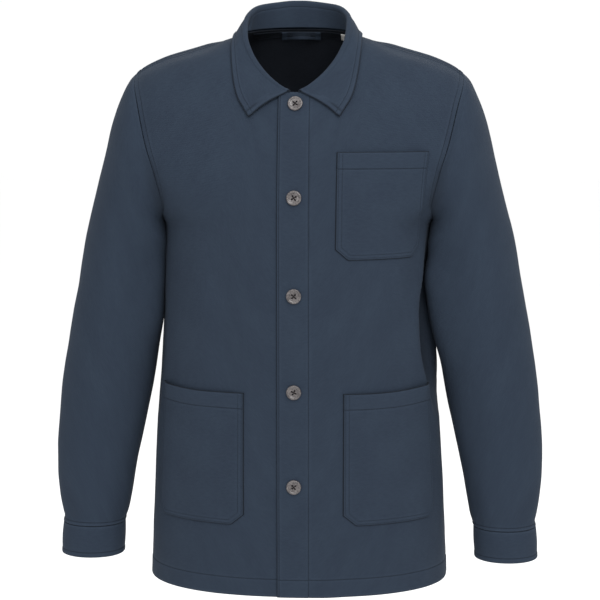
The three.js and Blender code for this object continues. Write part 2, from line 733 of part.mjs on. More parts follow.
// Four-hole button with a rim and a sunk middle, lying on +Y before it is turned
function buttonShape() {
  const profile = [
    new THREE.Vector2(0, 0),
    new THREE.Vector2(buttonRadius - 1.4, 0),
    new THREE.Vector2(buttonRadius, 1.2),
    new THREE.Vector2(buttonRadius - 0.4, buttonHeight - 0.3),
    new THREE.Vector2(buttonRadius - 1.5, buttonHeight),
    new THREE.Vector2(buttonRadius - 3.3, buttonHeight - buttonWell),
    new THREE.Vector2(0, buttonHeight - buttonWell),
  ];
  let body = solid(new THREE.LatheGeometry(profile, buttonSegments));
  for (const sideX of [-1, 1]) {
    for (const sideZ of [-1, 1]) {
      const hole = new THREE.CylinderGeometry(buttonHoleRadius, buttonHoleRadius, 12, 8);
      hole.translate(sideX * buttonHolePitch, 0, sideZ * buttonHolePitch);
      body = body.subtract(solid(hole));
    }
  }
  return geometryOf(body);
}

function button(drop) {
  const { point, normal } = frontPoint(1, 0, drop);
  const turn = new THREE.Quaternion().setFromUnitVectors(new THREE.Vector3(0, 1, 0), normal);
  const geometry = buttonShape();
  geometry.applyQuaternion(turn);
  const base = point.addScaledVector(normal, seamGap + 0.4);
  geometry.translate(base.x, base.y, base.z);
  return geometry;
}

const cloth = new THREE.MeshStandardMaterial({ color: 0x3a4552, roughness: 0.92, metalness: 0 });
const tapeCloth = new THREE.MeshStandardMaterial({ color: 0x2c3440, roughness: 0.9, metalness: 0 });
const tagCloth = new THREE.MeshStandardMaterial({ color: 0xe9e8e4, roughness: 0.8, metalness: 0 });
const horn = new THREE.MeshStandardMaterial({ color: 0x757073, roughness: 0.35, metalness: 0 });

const jacket = new THREE.Group();
jacket.name = "chore_jacket";

function add(name, geometry, material) {
  const mesh = new THREE.Mesh(geometry, material);
  mesh.name = name;
  jacket.add(mesh);
}

add("back", backPanel(), cloth);
add("front_left", frontPanel(1), cloth);
add("front_right", frontPanel(-1), cloth);
add("sleeve_left", sleeve(1), cloth);
add("sleeve_right", sleeve(-1), cloth);
add("cuff_left", cuff(1), cloth);
add("cuff_right", cuff(-1), cloth);
add("collar", collar(), cloth);
for (const spec of pockets) add(spec.name, pocket(spec), cloth);
buttonDrops.forEach((drop, i) => add(`button_${i + 1}`, button(drop), horn));
for (const spec of neckStrips) {
  add(spec.name, neckStrip(spec), spec.name === "neck_tag" ? tagCloth : tapeCloth);
}

export default jacket;
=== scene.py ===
import math
import bpy
import numpy as np
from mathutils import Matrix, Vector


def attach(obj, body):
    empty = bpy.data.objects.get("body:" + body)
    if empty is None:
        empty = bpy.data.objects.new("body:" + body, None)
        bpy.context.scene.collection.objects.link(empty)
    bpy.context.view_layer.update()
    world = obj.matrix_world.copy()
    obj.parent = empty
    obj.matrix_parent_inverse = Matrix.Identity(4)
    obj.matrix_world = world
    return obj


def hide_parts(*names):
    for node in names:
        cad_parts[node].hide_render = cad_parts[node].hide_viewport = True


# A navy work jacket worn by an invisible form. Tables are in millimetres, the scene is in metres.
# "drop" is the distance below the origin, which lies midway between the two shoulder-neck points.
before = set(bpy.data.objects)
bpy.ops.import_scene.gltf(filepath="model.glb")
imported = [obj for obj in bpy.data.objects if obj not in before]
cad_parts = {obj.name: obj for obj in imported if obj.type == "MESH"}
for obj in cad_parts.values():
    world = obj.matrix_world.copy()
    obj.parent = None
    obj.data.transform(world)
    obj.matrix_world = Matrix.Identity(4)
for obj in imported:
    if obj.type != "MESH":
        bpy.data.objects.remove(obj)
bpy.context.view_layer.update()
mm = 0.001
print("frame loaded")


def addObject(name, data):
    thing = bpy.data.objects.new(name, data)
    bpy.context.collection.objects.link(thing)
    return thing


def aimAt(thing, place, aim):
    thing.location = place
    thing.rotation_euler = (Vector(aim) - thing.location).to_track_quat("-Z", "Y").to_euler()


def addPiece(name, vertices, faces, *materials):
    mesh = bpy.data.meshes.new(name)
    mesh.from_pydata(vertices, [], faces)
    for material in materials:
        mesh.materials.append(material)
    mesh.polygons.foreach_set("use_smooth", np.ones(len(mesh.polygons), bool))
    mesh.update()
    return addObject(name, mesh)


# Camera at the photograph's angle
cameraPlan = {
    "azimuth": 3.0,  # degrees towards the wearer's left
    "distance": 2.8,
    "height": 0.045,
    "aim": (0.001, 0.0, -0.37),
    "lens": 121.2,
    "sensor": 36,
}


def addCamera(plan):
    turn = math.radians(plan["azimuth"])
    data = bpy.data.cameras.new("photoCamera")
    data.lens = plan["lens"]
    data.sensor_width = plan["sensor"]
    camera = addObject("photoCamera", data)
    away = plan["distance"]
    aimAt(camera, (away * math.sin(turn), -away * math.cos(turn), plan["height"]), plan["aim"])
    bpy.context.scene.camera = camera


addCamera(cameraPlan)
bpy.context.scene.view_settings.view_transform = "Standard"


# Materials are built node by node
def linear(hexColour):
    values = [int(hexColour[k:k + 2], 16) / 255 for k in (1, 3, 5)]
    return tuple(v / 12.92 if v <= 0.04045 else ((v + 0.055) / 1.055) ** 2.4 for v in values) + (1.0,)


def addNode(tree, kind, values=None, links=None, **settings):
    node = tree.nodes.new("ShaderNode" + kind)
    for key, value in settings.items():
        setattr(node, key, value)
    for socket, value in (values or {}).items():
        node.inputs[socket].default_value = value
    for socket, source in (links or {}).items():
        tree.links.new(source, node.inputs[socket])
    return node


def newMaterial(name):
    material = bpy.data.materials.new(name)
    material.use_nodes = True
    material.node_tree.nodes.clear()
    return material, material.node_tree


def finishMaterial(tree, shader):
    addNode(tree, "OutputMaterial", links={"Surface": shader.outputs[0]})


# Soft studio light and a pale floor
studioPlan = {
    "floorDrop": 1500,
    "floorSize": 30,
    "floorHex": "#fdfdfd",
    "floorRoughness": 0.9,
    "worldHex": "#ffffff",
    "worldStrength": 1.02,
    # place, aim, size in metres, power in watts
    "lights": {
        "keyFront": ((1.05, -2.2, 1.6), (0.05, 0, -0.15), 1.9, 62),
        "fillFront": ((-1.2, -3.4, 0.7), (0, 0, -0.4), 2.4, 28),
        "overhead": ((0.4, -0.5, 2.6), (0, 0, -0.2), 2.2, 20),
        "behind": ((0.6, 3.4, 1.6), (0, 0, -0.3), 2.8, 24),
    },
}


def addStudio(plan):
    world = bpy.data.worlds.new("softRoom")
    world.use_nodes = True
    background = world.node_tree.nodes["Background"]
    background.inputs["Color"].default_value = linear(plan["worldHex"])
    background.inputs["Strength"].default_value = plan["worldStrength"]
    bpy.context.scene.world = world
    for name, (place, aim, size, power) in plan["lights"].items():
        data = bpy.data.lights.new(name, "AREA")
        data.shape = "DISK"
        data.size = size
        data.energy = power
        aimAt(addObject(name, data), place, aim)
    half = plan["floorSize"] / 2
    low = -plan["floorDrop"] * mm
    corners = [(-half, -half, low), (half, -half, low), (half, half, low), (-half, half, low)]
    # painted studio floor, matt and near white
    material, tree = newMaterial("paintedFloor")
    paint = addNode(tree, "BsdfPrincipled", {
        "Base Color": linear(plan["floorHex"]), "Roughness": plan["floorRoughness"]})
    finishMaterial(tree, paint)
    floor = addPiece("paleFloor", corners, [(0, 1, 2, 3)], material)


addStudio(studioPlan)
print("camera and studio ready")


# Cotton twill, woven and washed: matt, with a fine diagonal rib and slightly uneven dye
twillPlan = {
    # full dye, thin dye and rubbed
    "hexes": ("#28323e", "#1f2733", "#323d4b"),
    # the inside faces: the same dyes painted darker, as painted shade inside the jacket
    "shadedInsideHexes": ("#1b2028", "#12151b", "#1c2129"),
    # colour of the painted shade along seams, turned edges and creases
    "hexPaintedShade": "#0c0f14",
    "sheenHex": "#8b98a8",
    "ribMm": 1.9,  # the real rib is 0.9 mm, drawn coarser so that it shows
    "ribAngle": 63,
    "yarnMm": 0.55,
    "slubMm": 2.4,
    "cloudMm": 46,
    # how far each pattern moves the colour between thin and full dye
    "ribShare": 0.22,
    "yarnShare": 0.34,
    "slubShare": 0.16,
    "cloudShare": 0.24,
    "ribDepthMm": 0.09,
    "bump": 0.55,
    "roughness": 0.93,
    "specular": 0.15,
    "sheen": 0.04,
}


def clothMaterial(name, plan, hexes):
    fullDye, thinDye, wornDye = (linear(hexColour) for hexColour in hexes)
    material, tree = newMaterial(name)
    # millimetres across and down the cloth in x and y; in z rubbed wear is above zero and painted shade along
    # seams, edges and creases below zero
    laid = addNode(tree, "Attribute", attribute_name="clothMm")
    angle = math.radians(plan["ribAngle"])
    turn = 2 * math.pi / plan["ribMm"]
    along = addNode(
        tree, "VectorMath", {1: (math.cos(angle) * turn, math.sin(angle) * turn, 0)},
        {0: laid.outputs["Vector"]}, operation="DOT_PRODUCT")
    rib = addNode(tree, "Math", links={0: along.outputs["Value"]}, operation="SINE")
    yarn = addNode(
        tree, "TexNoise", {"Scale": 1 / plan["yarnMm"], "Detail": 2.0, "Roughness": 0.6},
        {"Vector": laid.outputs["Vector"]}, noise_dimensions="2D")
    # slubs: thicker lengths of weft, long across the cloth
    stretched = addNode(
        tree, "VectorMath", {1: (0.3, 1, 0)}, {0: laid.outputs["Vector"]}, operation="MULTIPLY")
    slub = addNode(
        tree, "TexNoise", {"Scale": 1 / plan["slubMm"], "Detail": 2.0, "Roughness": 0.7},
        {"Vector": stretched.outputs["Vector"]}, noise_dimensions="2D")
    cloud = addNode(
        tree, "TexNoise", {"Scale": 1 / plan["cloudMm"], "Detail": 3.0, "Roughness": 0.55},
        {"Vector": laid.outputs["Vector"]}, noise_dimensions="2D")
    shares = []
    for pattern, low, high, least, most in (
            (rib, -1, 1, 0, plan["ribShare"]),
            (yarn, 0.3, 0.7, 0, plan["yarnShare"]),
            (cloud, 0.3, 0.7, 0, plan["cloudShare"]),
            (slub, 0.3, 0.7, -plan["slubShare"], plan["slubShare"])):
        shares.append(addNode(
            tree, "MapRange", {"From Min": low, "From Max": high, "To Min": least, "To Max": most},
            {"Value": pattern.outputs[0]}).outputs[0])
    woven = addNode(tree, "Math", links={0: shares[0], 1: shares[1]}, operation="ADD")
    uneven = addNode(tree, "Math", links={0: shares[2], 1: shares[3]}, operation="ADD")
    share = addNode(
        tree, "Math", links={0: woven.outputs[0], 1: uneven.outputs[0]}, operation="ADD", use_clamp=True)
    dyed = addNode(
        tree, "Mix", {"A": thinDye, "B": fullDye}, {"Factor": share.outputs[0]}, data_type="RGBA")
    parts = addNode(tree, "SeparateXYZ", links={"Vector": laid.outputs["Vector"]})
    worn = addNode(
        tree, "Math", links={0: parts.outputs["Z"], 1: yarn.outputs[0]}, operation="MULTIPLY",
        use_clamp=True)
    rubbed = addNode(
        tree, "Mix", {"B": wornDye}, {"A": dyed.outputs["Result"], "Factor": worn.outputs[0]},
        data_type="RGBA")
    # painted shade: below zero, z mixes the cloth towards the painted shade colour
    deep = addNode(
        tree, "Math", {1: -1.0}, {0: parts.outputs["Z"]}, operation="MULTIPLY", use_clamp=True)
    colour = addNode(
        tree, "Mix", {"B": linear(plan["hexPaintedShade"])},
        {"A": rubbed.outputs["Result"], "Factor": deep.outputs[0]}, data_type="RGBA")
    raised = addNode(tree, "Math", {1: 0.7}, {0: yarn.outputs[0]}, operation="MULTIPLY")
    height = addNode(tree, "Math", links={0: shares[0], 1: raised.outputs[0]}, operation="ADD")
    bump = addNode(
        tree, "Bump", {"Strength": plan["bump"], "Distance": plan["ribDepthMm"] * mm * 4},
        {"Height": height.outputs[0]})
    weave = addNode(
        tree, "BsdfPrincipled",
        {"Roughness": plan["roughness"], "IOR": 1.46, "Specular IOR Level": plan["specular"],
         "Sheen Weight": plan["sheen"], "Sheen Roughness": 0.5, "Sheen Tint": linear(plan["sheenHex"])},
        {"Base Color": colour.outputs["Result"], "Normal": bump.outputs[0]})
    finishMaterial(tree, weave)
    return material


twill = clothMaterial("cottonTwill", twillPlan, twillPlan["hexes"])
# a darker copy of the same twill for the inner faces: painted shade, not a different cloth
twillInsideShaded = clothMaterial("cottonTwillInsidePaintedShade", twillPlan, twillPlan["shadedInsideHexes"])

threadPlan = {
    "seamHex": "#1b232d",
    "seamRoughness": 0.8,
    "buttonHex": "#1e1a1b",
    "buttonRoughness": 0.65,
    "twistMm": 0.4,
}


def threadMaterial(name, hexColour, roughness):
    # spun polyester thread, twisted and slightly shiny
    material, tree = newMaterial(name)
    place = addNode(tree, "TexCoord")
    twist = addNode(
        tree, "TexNoise", {"Scale": 1 / (threadPlan["twistMm"] * mm), "Detail": 1.0},
        {"Vector": place.outputs["Object"]})
    tone = addNode(tree, "MapRange", {"From Min": 0.3, "From Max": 0.7, "To Min": 0.75, "To Max": 1.15},
                   {"Value": twist.outputs[0]})
    shade = addNode(tree, "Mix", {"Factor": 1.0, "A": linear(hexColour)}, {"B": tone.outputs[0]},
                    data_type="RGBA", blend_type="MULTIPLY")
    thread = addNode(tree, "BsdfPrincipled", {"Roughness": roughness, "IOR": 1.5, "Specular IOR Level": 0.15},
                     {"Base Color": shade.outputs["Result"]})
    finishMaterial(tree, thread)
    return material


seamThread = threadMaterial("polyesterThread", threadPlan["seamHex"], threadPlan["seamRoughness"])
buttonThread = threadMaterial("buttonThread", threadPlan["buttonHex"], threadPlan["buttonRoughness"])
print("cloth and thread materials ready")


# Curves and small helpers
def table(columns, rows):
    return {name: np.array([row[k] for row in rows], float) for k, name in enumerate(columns.split())}


def hermite(t, width, a, b, slopeA, slopeB):
    return ((2 * t**3 - 3 * t**2 + 1) * a + (t**3 - 2 * t**2 + t) * width * slopeA
            + (3 * t**2 - 2 * t**3) * b + (t**3 - t**2) * width * slopeB)


def follow(curves, along, key, at):
    spots, values = curves[along], curves[key]
    slopes = np.diff(values) / np.diff(spots)
    before, after = slopes[:-1], slopes[1:]
    same = before * after > 0
    tangents = np.concatenate([slopes[:1], np.zeros(len(before)), slopes[-1:]])
    tangents[1:-1][same] = 2 * before[same] * after[same] / (before[same] + after[same])
    at = np.clip(np.asarray(at, float), spots[0], spots[-1])
    i = np.clip(np.searchsorted(spots, at, side="right") - 1, 0, len(spots) - 2)
    width = np.diff(spots)[i]
    return hermite((at - spots[i]) / width, width, values[i], values[i + 1], tangents[i], tangents[i + 1])


def smooth(start, end, value):
    t = np.clip((value - start) / (end - start), 0, 1)
    return t * t * (3 - 2 * t)


def mix(a, b, t):
    return a + (b - a) * t


def bell(away, width):
    return np.exp(-(away / width) ** 2)


def softNoise(x, y, cell, seed):
    size = 97
    lattice = np.random.default_rng(seed).uniform(-1, 1, (size, size))
    x, y = np.broadcast_arrays(np.asarray(x, float) / cell, np.asarray(y, float) / cell)
    i, j = np.floor(x).astype(int), np.floor(y).astype(int)
    a, b = x - i, y - j
    a, b = a * a * (3 - 2 * a), b * b * (3 - 2 * b)
    i, j, nextI, nextJ = i % size, j % size, (i + 1) % size, (j + 1) % size
    near = mix(lattice[i, j], lattice[nextI, j], a)
    far = mix(lattice[i, nextJ], lattice[nextI, nextJ], a)
    return mix(near, far, b)


# height, cell size and seed of each size of wave
def waves(x, y, sizes, side=0):
    return sum(height * softNoise(x, y, cell, seed + side) for height, cell, seed in sizes)


def unit(vectors):
    return vectors / np.maximum(np.linalg.norm(vectors, axis=-1, keepdims=True), 1e-9)


def signOf(normals, guide):
    return np.sign(np.sum(normals * guide, axis=-1).mean())


# The body form, as in the solids but for a front neck edge 3.5 mm higher
bodyPlan = {
    "hemDrop": 759,
    "underarmDrop": 262,
    "tipDrop": 57,
    "chestDrop": 135,
    "tipHalfWidth": 226,
    "neckHalfWidth": 75,
    "frontNeckDrop": 76.5,
    "backNeckRise": 6,
    "overlap": 23,
    "underlap": 22,
    "shoulderTilt": 0.28,
    "power": 2.25,
    "cloth": 2.0,
    "seamGap": 0.3,
    "frontShare": 0.34,
    "frontNeckShare": 0.45,
    "backShare": 0.4,
    "backNeckShare": 0.36,
    "bandStep": 1.8,
    "bandFades": (42, 76),
    "waves": ((0.9, 88, 5), (0.28, 31, 6)),
}
torsoForm = table("drop halfWidth front back", [
    (-14, 34, 20, 46), (-6, 60, 34, 58), (0, 75, 42, 64), (9, 101, 52, 70), (22, 144, 63, 78),
    (36, 190, 72, 87), (52, 221, 82, 96), (75, 241, 94, 107), (110, 255, 109, 118), (150, 256, 122, 127),
    (190, 238, 131, 132), (230, 208, 137, 134), (262, 186, 139, 134), (315, 187, 141, 131),
    (414, 192, 141, 127), (515, 199, 140, 127), (615, 204, 140, 130), (734, 209, 139, 133),
    (780, 210, 139, 134),
])
armholeForm = table("drop front back", [
    (57, 226, 226), (71, 223.5, 223.5), (100, 216, 217), (145, 205, 209), (190, 191, 198),
    (230, 183, 189), (250, 184.3, 186), (262, 186, 186),
])
# angle runs 0 at the front centre, 90 at the side seam and 180 at the back centre; lean is degrees per 100 mm
bodyFolds = table("side angle drop spread reach depth lean", [
    (1, 46, 330, 10, 90, 3, 0), (1, 100, 560, 14, 130, -5, 0),
    (-1, 27, 430, 9, 120, -4, 0), (-1, 104, 600, 13, 120, -5, 0),
    (1, 140, 430, 12, 130, -5, 0), (-1, 143, 460, 12, 130, -6, 0),
    (1, 58, 235, 4, 40, -1.4, -9), (-1, 61, 228, 4, 42, -1.6, 8), (1, 30, 480, 6, 80, 1.2, 2),
    (-1, 40, 330, 6, 90, 1.3, -3), (-1, 58, 610, 6, 70, 1.2, 4), (1, 76, 640, 6, 80, 1.5, -3),
    (1, 118, 300, 5, 70, -1.8, 7), (-1, 121, 290, 5, 70, -1.6, 6), (1, 160, 560, 7, 110, 1.5, 2),
    (-1, 163, 620, 7, 100, 1.4, -2), (1, 152, 150, 7, 45, -1.0, 5), (-1, 150, 160, 7, 45, -1.1, 5),
    (1, 172, 330, 6, 90, -1.0, 0), (-1, 128, 640, 6, 80, 1.6, 3),
])


def halfWidthAt(drop):
    return follow(torsoForm, "drop", "halfWidth", drop)


def panelWidthAt(drop):
    return halfWidthAt(np.maximum(drop, bodyPlan["chestDrop"]))


def depthAt(face, drop):
    return follow(torsoForm, "drop", "front" if face < 0 else "back", drop)


def angleOf(x, drop):
    share = np.minimum(1, np.abs(x) / panelWidthAt(drop))
    return np.sign(x) * np.arcsin(share ** (bodyPlan["power"] / 2))


shoulderDrops = np.linspace(-14, 120, 1200)
shoulderWidths = halfWidthAt(shoulderDrops)


def shoulderDropAt(x):
    return np.interp(x, shoulderWidths, shoulderDrops)


# the front breaks over a crest and falls back into the side: crest angle and depth by drop
sideBreaks = {
    1: table("drop crest depth", [
        (200, 76, 0), (262, 71, 2), (300, 67, 7), (328, 64.5, 13), (356, 60.5, 19), (377, 59, 22),
        (406, 59, 22), (434, 60, 19), (462, 63, 13.5), (491, 67, 7), (530, 71, 0),
    ]),
    -1: table("drop crest depth", [
        (200, 80, 0), (340, 74, 0.5), (400, 68, 2.5), (450, 68, 3.5), (490, 70, 2), (530, 74, 0),
    ]),
}


def breakAt(side, turn, drop):
    past = turn - follow(sideBreaks[side], "drop", "crest", drop)
    depth = follow(sideBreaks[side], "drop", "depth", drop)
    valley = smooth(-0.5, 6, past) * smooth(30, 11, past)
    ridge = 0.14 * bell(past + 3.5, 5)
    return depth * (ridge - valley)


def foldAt(folds, x, turn, drop):
    total = np.zeros(np.broadcast(x, turn, drop).shape)
    for side, angle, at, spread, reach, depth, lean in zip(*folds.values()):
        across = (turn - angle - lean * (drop - at) / 100) / spread
        along = (drop - at) / reach
        total = total + smooth(-12, 12, x * side) * depth * np.exp(-across**2 - along**2)
    return total


def torsoAt(face, angle, drop):
    power = bodyPlan["power"]
    sine = np.abs(np.sin(angle))
    x = np.sign(angle) * panelWidthAt(drop) * sine ** (2 / power)
    a = halfWidthAt(drop)
    b = depthAt(face, drop)
    share = np.minimum(1, np.abs(x) / a) ** power
    y = face * b * np.maximum(0, 1 - share) ** (1 / power)
    aSlope = halfWidthAt(drop + 0.5) - halfWidthAt(drop - 0.5)
    bSlope = depthAt(face, drop + 0.5) - depthAt(face, drop - 0.5)
    normal = unit(np.stack(np.broadcast_arrays(
        np.sign(x) * (np.abs(x) / a) ** (power - 1) / a,
        face * (np.abs(y) / b) ** (power - 1) / b,
        share * aSlope / a + (1 - share) * bSlope / b), axis=-1))
    turn = np.degrees(np.abs(angle))
    turn = turn if face < 0 else 180 - turn
    out = foldAt(bodyFolds, x, turn, drop)
    out = out + np.where(x > 0, breakAt(1, turn, drop), breakAt(-1, turn, drop))
    calm = smooth(70, 190, drop) * smooth(0, 26, np.abs(x) * 0.4 + 14)
    out = out + calm * waves(x + 0.35 * y, drop, bodyPlan["waves"])
    point = np.stack(np.broadcast_arrays(x, y, -drop), axis=-1) + normal * np.asarray(out)[..., None]
    return point, normal


def rollForward(point):
    near = smooth(-115, -60, point[..., 2]) * smooth(95, 130, np.abs(point[..., 0]))
    lifted = bodyPlan["shoulderTilt"] * point[..., 1] * bell(point[..., 1], 32) * near
    return point + np.stack([np.zeros_like(lifted), np.zeros_like(lifted), lifted], axis=-1)


def neckDropAt(face, turn):
    cosine = np.maximum(0, np.cos(turn))
    return bodyPlan["frontNeckDrop"] * cosine**1.1 if face < 0 else -bodyPlan["backNeckRise"] * cosine


def topEdge(face, startX, u, neckShare):
    start = math.asin(startX / bodyPlan["neckHalfWidth"])
    turn = mix(start, math.pi / 2, np.minimum(1, u / neckShare))
    along = np.maximum(0, (u - neckShare) / (1 - neckShare))
    shoulder = mix(bodyPlan["neckHalfWidth"], bodyPlan["tipHalfWidth"], along)
    onNeck = u < neckShare
    x = np.where(onNeck, bodyPlan["neckHalfWidth"] * np.sin(turn), shoulder)
    drop = np.where(onNeck, neckDropAt(face, turn), shoulderDropAt(shoulder))
    return x, drop


def panelPlace(face, startX, u, v, armholeShare, neckShare):
    plan = bodyPlan
    topX, topDrop = topEdge(face, startX, u, neckShare)
    startTop = float(topEdge(face, startX, np.array(0.0), neckShare)[1])
    startDrop = mix(startTop, plan["hemDrop"], v)
    onArmhole = v < armholeShare
    sideDrop = np.where(
        onArmhole, mix(plan["tipDrop"], plan["underarmDrop"], v / armholeShare),
        mix(plan["underarmDrop"], plan["hemDrop"], (v - armholeShare) / (1 - armholeShare)))
    armholeX = follow(armholeForm, "drop", "front" if face < 0 else "back", sideDrop)
    sideAngle = np.where(onArmhole, angleOf(armholeX, sideDrop), math.pi / 2)
    hemStart = angleOf(startX, plan["hemDrop"])
    tipAngle = angleOf(plan["tipHalfWidth"], plan["tipDrop"])
    angle = (mix(angleOf(topX, topDrop), mix(hemStart, math.pi / 2, u), v)
             + mix(angleOf(startX, startDrop), sideAngle, u)
             - mix(mix(angleOf(startX, startTop), tipAngle, u), mix(hemStart, math.pi / 2, u), v))
    drop = (mix(topDrop, plan["hemDrop"], v) + mix(startDrop, sideDrop, u)
            - mix(mix(startTop, plan["tipDrop"], u), plan["hemDrop"], v))
    return angle, drop


def placketLift(x):
    step = bodyPlan["cloth"] + bodyPlan["bandStep"] * bodyPlan["seamGap"]
    return step * (1 - smooth(*bodyPlan["bandFades"], x))


def frontPoint(side, angle, drop):
    point, normal = torsoAt(-1, side * angle, drop)
    if side > 0:
        point = point + normal * placketLift(point[..., 0])[..., None]
    return rollForward(point), normal


def frontSurface(side):
    startX = -bodyPlan["overlap"] if side > 0 else -bodyPlan["underlap"]

    def surface(u, v):
        angle, drop = panelPlace(-1, startX, u, v, bodyPlan["frontShare"], bodyPlan["frontNeckShare"])
        return frontPoint(side, angle, drop)[0]
    return surface


def backSurface(u, v):
    sign = np.where(u < 0.5, -1.0, 1.0)
    half = np.abs(2 * u - 1)
    angle, drop = panelPlace(1, 0, half, v, bodyPlan["backShare"], bodyPlan["backNeckShare"])
    return rollForward(torsoAt(1, sign * angle, drop)[0])


# A surface is laid out as a grid whose lines keep real distances from its edges
def roundedEdge(*stitchLines):
    spots = [0, 0.5, 1.1, 1.9, 3.2]
    for at in stitchLines:
        spots += [at - 1.3, at - 0.7, at, at + 0.7, at + 1.3]
    kept = []
    for spot in sorted(spots):
        if not kept or spot - kept[-1] > 0.3:
            kept.append(spot)
    return kept


def fillGaps(spots, step):
    filled = [spots[0]]
    for spot in spots[1:]:
        count = max(1, int(math.ceil((spot - filled[-1]) / step)))
        first = filled[-1]
        filled += [first + (spot - first) * k / count for k in range(1, count + 1)]
    return filled


def gridSign(points):
    return signOf(gridNormals(points, False), points * np.array([1, 1, 0]))


def sharesAt(lines, plan, fine):
    steps = np.linalg.norm(np.diff(lines, axis=1), axis=2)
    lengths = np.concatenate([np.zeros((len(lines), 1)), np.cumsum(steps, axis=1)], axis=1)
    shares = []
    for length in lengths:
        start = np.array(plan["start"])
        end = length[-1] - np.array(plan["end"])[::-1]
        middle = np.linspace(start[-1], end[0], plan["cells"] + 1)[1:-1]
        shares.append(np.interp(np.concatenate([start, middle, end]), length, fine))
    return np.array(shares)


def layGrid(surface, across, down, around=False):
    fine = np.linspace(0, 1, 181)
    middle = np.full_like(fine, 0.25 if around else 0.6)
    vMean = sharesAt(surface(middle, fine)[None], down, fine)[0]
    if around:
        u = np.broadcast_to(np.arange(across) / across, (len(vMean), across))
    else:
        uFine, vFine = np.meshgrid(fine, vMean)
        u = sharesAt(surface(uFine, vFine), across, fine)
    uPath = np.array([np.interp(fine, vMean, column) for column in u.T])
    v = sharesAt(surface(uPath, np.broadcast_to(fine, uPath.shape)), down, fine).T
    uLaid = np.array([np.interp(v[:, j], vMean, u[:, j]) for j in range(u.shape[1])]).T
    return surface(uLaid, v)


def gridNormals(points, around):
    if around:
        across = np.roll(points, -1, axis=1) - np.roll(points, 1, axis=1)
    else:
        across = np.gradient(points, axis=1)
    down = np.gradient(points, axis=0)
    return unit(np.cross(across, down))


def bodyOutward(points, face):
    drop = -points[..., 2]
    a, b = halfWidthAt(drop), depthAt(face, drop)
    power = bodyPlan["power"]
    x = np.sign(points[..., 0]) * (np.abs(points[..., 0]) / a) ** (power - 1) / a
    y = face * np.maximum(0, face * points[..., 1] / b) ** (power - 1) / b
    return unit(np.stack([x, y, 0 * x], axis=-1))


# Where a cut corner turns the grid over, the form's own normal is used
def steady(normals, guide):
    if guide is None:
        return normals
    weak = np.sum(normals * guide, axis=-1) < 0.3
    return np.where(weak[..., None], guide, normals)


def clothOf(points, sign, around=False, guide=None):
    normals = steady(gridNormals(points, around) * sign, guide)
    rowSteps = np.linalg.norm(np.diff(points, axis=1), axis=2)
    columnSteps = np.linalg.norm(np.diff(points, axis=0), axis=2)
    across = np.concatenate([np.zeros((len(points), 1)), np.cumsum(rowSteps, axis=1)], axis=1)
    down = np.concatenate([np.zeros((1, points.shape[1])), np.cumsum(columnSteps, axis=0)], axis=0)
    return {
        "points": points, "normals": normals, "around": around, "across": across, "down": down,
        "fromStart": across, "toEnd": across[:, -1:] - across, "fromTop": down, "toBottom": down[-1:] - down,
        "lift": np.zeros(points.shape[:2]), "wear": np.zeros(points.shape[:2]),
        "shade": np.zeros(points.shape[:2]), "guide": guide,
    }


# A tube's normals face away from its middle
def tubeCloth(points):
    cloth = clothOf(points, 1, around=True)
    cloth["normals"] *= signOf(cloth["normals"], points - points.mean(axis=1, keepdims=True))
    return cloth


def atLeast(cloth, key, value):
    cloth[key] = np.maximum(cloth[key], value)


edgePlan = {"radius": 1.9, "depth": 1.5, "wear": 0.5, "shade": 0.8, "shadeMm": 1.1}
seamPlan = {
    "groove": 0.5,
    "width": 0.8,
    "ridge": 0.5,
    "pucker": 0.24,
    "puckerMm": 7.5,
    "puckerReach": 9,
    "shade": 0.42,
    "shadeWidth": 0.9,
    # offset from the line, width and strength of the rubbed cloth beside it
    "rubs": ((1.4, 1.6, 0.35), (-1.6, 1.4, 0.25)),
    "sewnDepth": 0.9,
    "sewnShade": 0.35,
    "flatShare": 0.35,
    "flatUntil": 62,
    "fullFrom": 105,
}


def turnEdge(cloth, distance, depth=edgePlan["depth"], shade=edgePlan["shade"]):
    share = np.clip(1 - distance / edgePlan["radius"], 0, 1)
    cloth["lift"] = cloth["lift"] - depth * (1 - np.sqrt(1 - share**2))
    atLeast(cloth, "wear", edgePlan["wear"] * bell(distance - 1.6, 1.3))
    # painted shade: the cloth is coloured darker right at the turned edge
    atLeast(cloth, "shade", shade * bell(distance, edgePlan["shadeMm"]))


def sinkStitches(cloth, distance, at, along, seed, mask=1.0, ridge=True, pucker=1.0):
    plan = seamPlan
    groove = -plan["groove"] * bell(distance - at, plan["width"])
    raised = plan["ridge"] * smooth(at + 0.9, at - 0.9, distance) if ridge else 0
    wave = softNoise(along, distance * 0.35, plan["puckerMm"], seed)
    ripple = pucker * plan["pucker"] * wave * np.exp(-np.abs(distance - at) / plan["puckerReach"])
    cloth["lift"] = cloth["lift"] + mask * (groove + raised + ripple)
    worn = sum(strength * bell(distance - at - offset, width) for offset, width, strength in plan["rubs"])
    atLeast(cloth, "wear", mask * worn)
    # painted shade along the stitch groove
    atLeast(cloth, "shade", mask * plan["shade"] * bell(distance - at, plan["shadeWidth"]))


def shape(cloth):
    cloth["points"] = cloth["points"] + cloth["normals"] * cloth["lift"][..., None]
    fresh = gridNormals(cloth["points"], cloth["around"])
    cloth["normals"] = steady(fresh * signOf(fresh, cloth["normals"]), cloth["guide"])


tuckPlan = {"steps": (0.5, 1.8, 6.0), "depths": (1.4, 2.4, 2.8)}


# Rows of the seam allowance that passes under the neighbouring piece, from its edge inwards
def tuckLines(line, beyond, normal, strength):
    reach = np.broadcast_to(np.asarray(strength, float)[..., None], line.shape)
    return [line + (beyond * step - normal * depth) * reach + beyond * 0.04 * (k + 1)
            for k, (step, depth) in enumerate(zip(tuckPlan["steps"], tuckPlan["depths"]))]


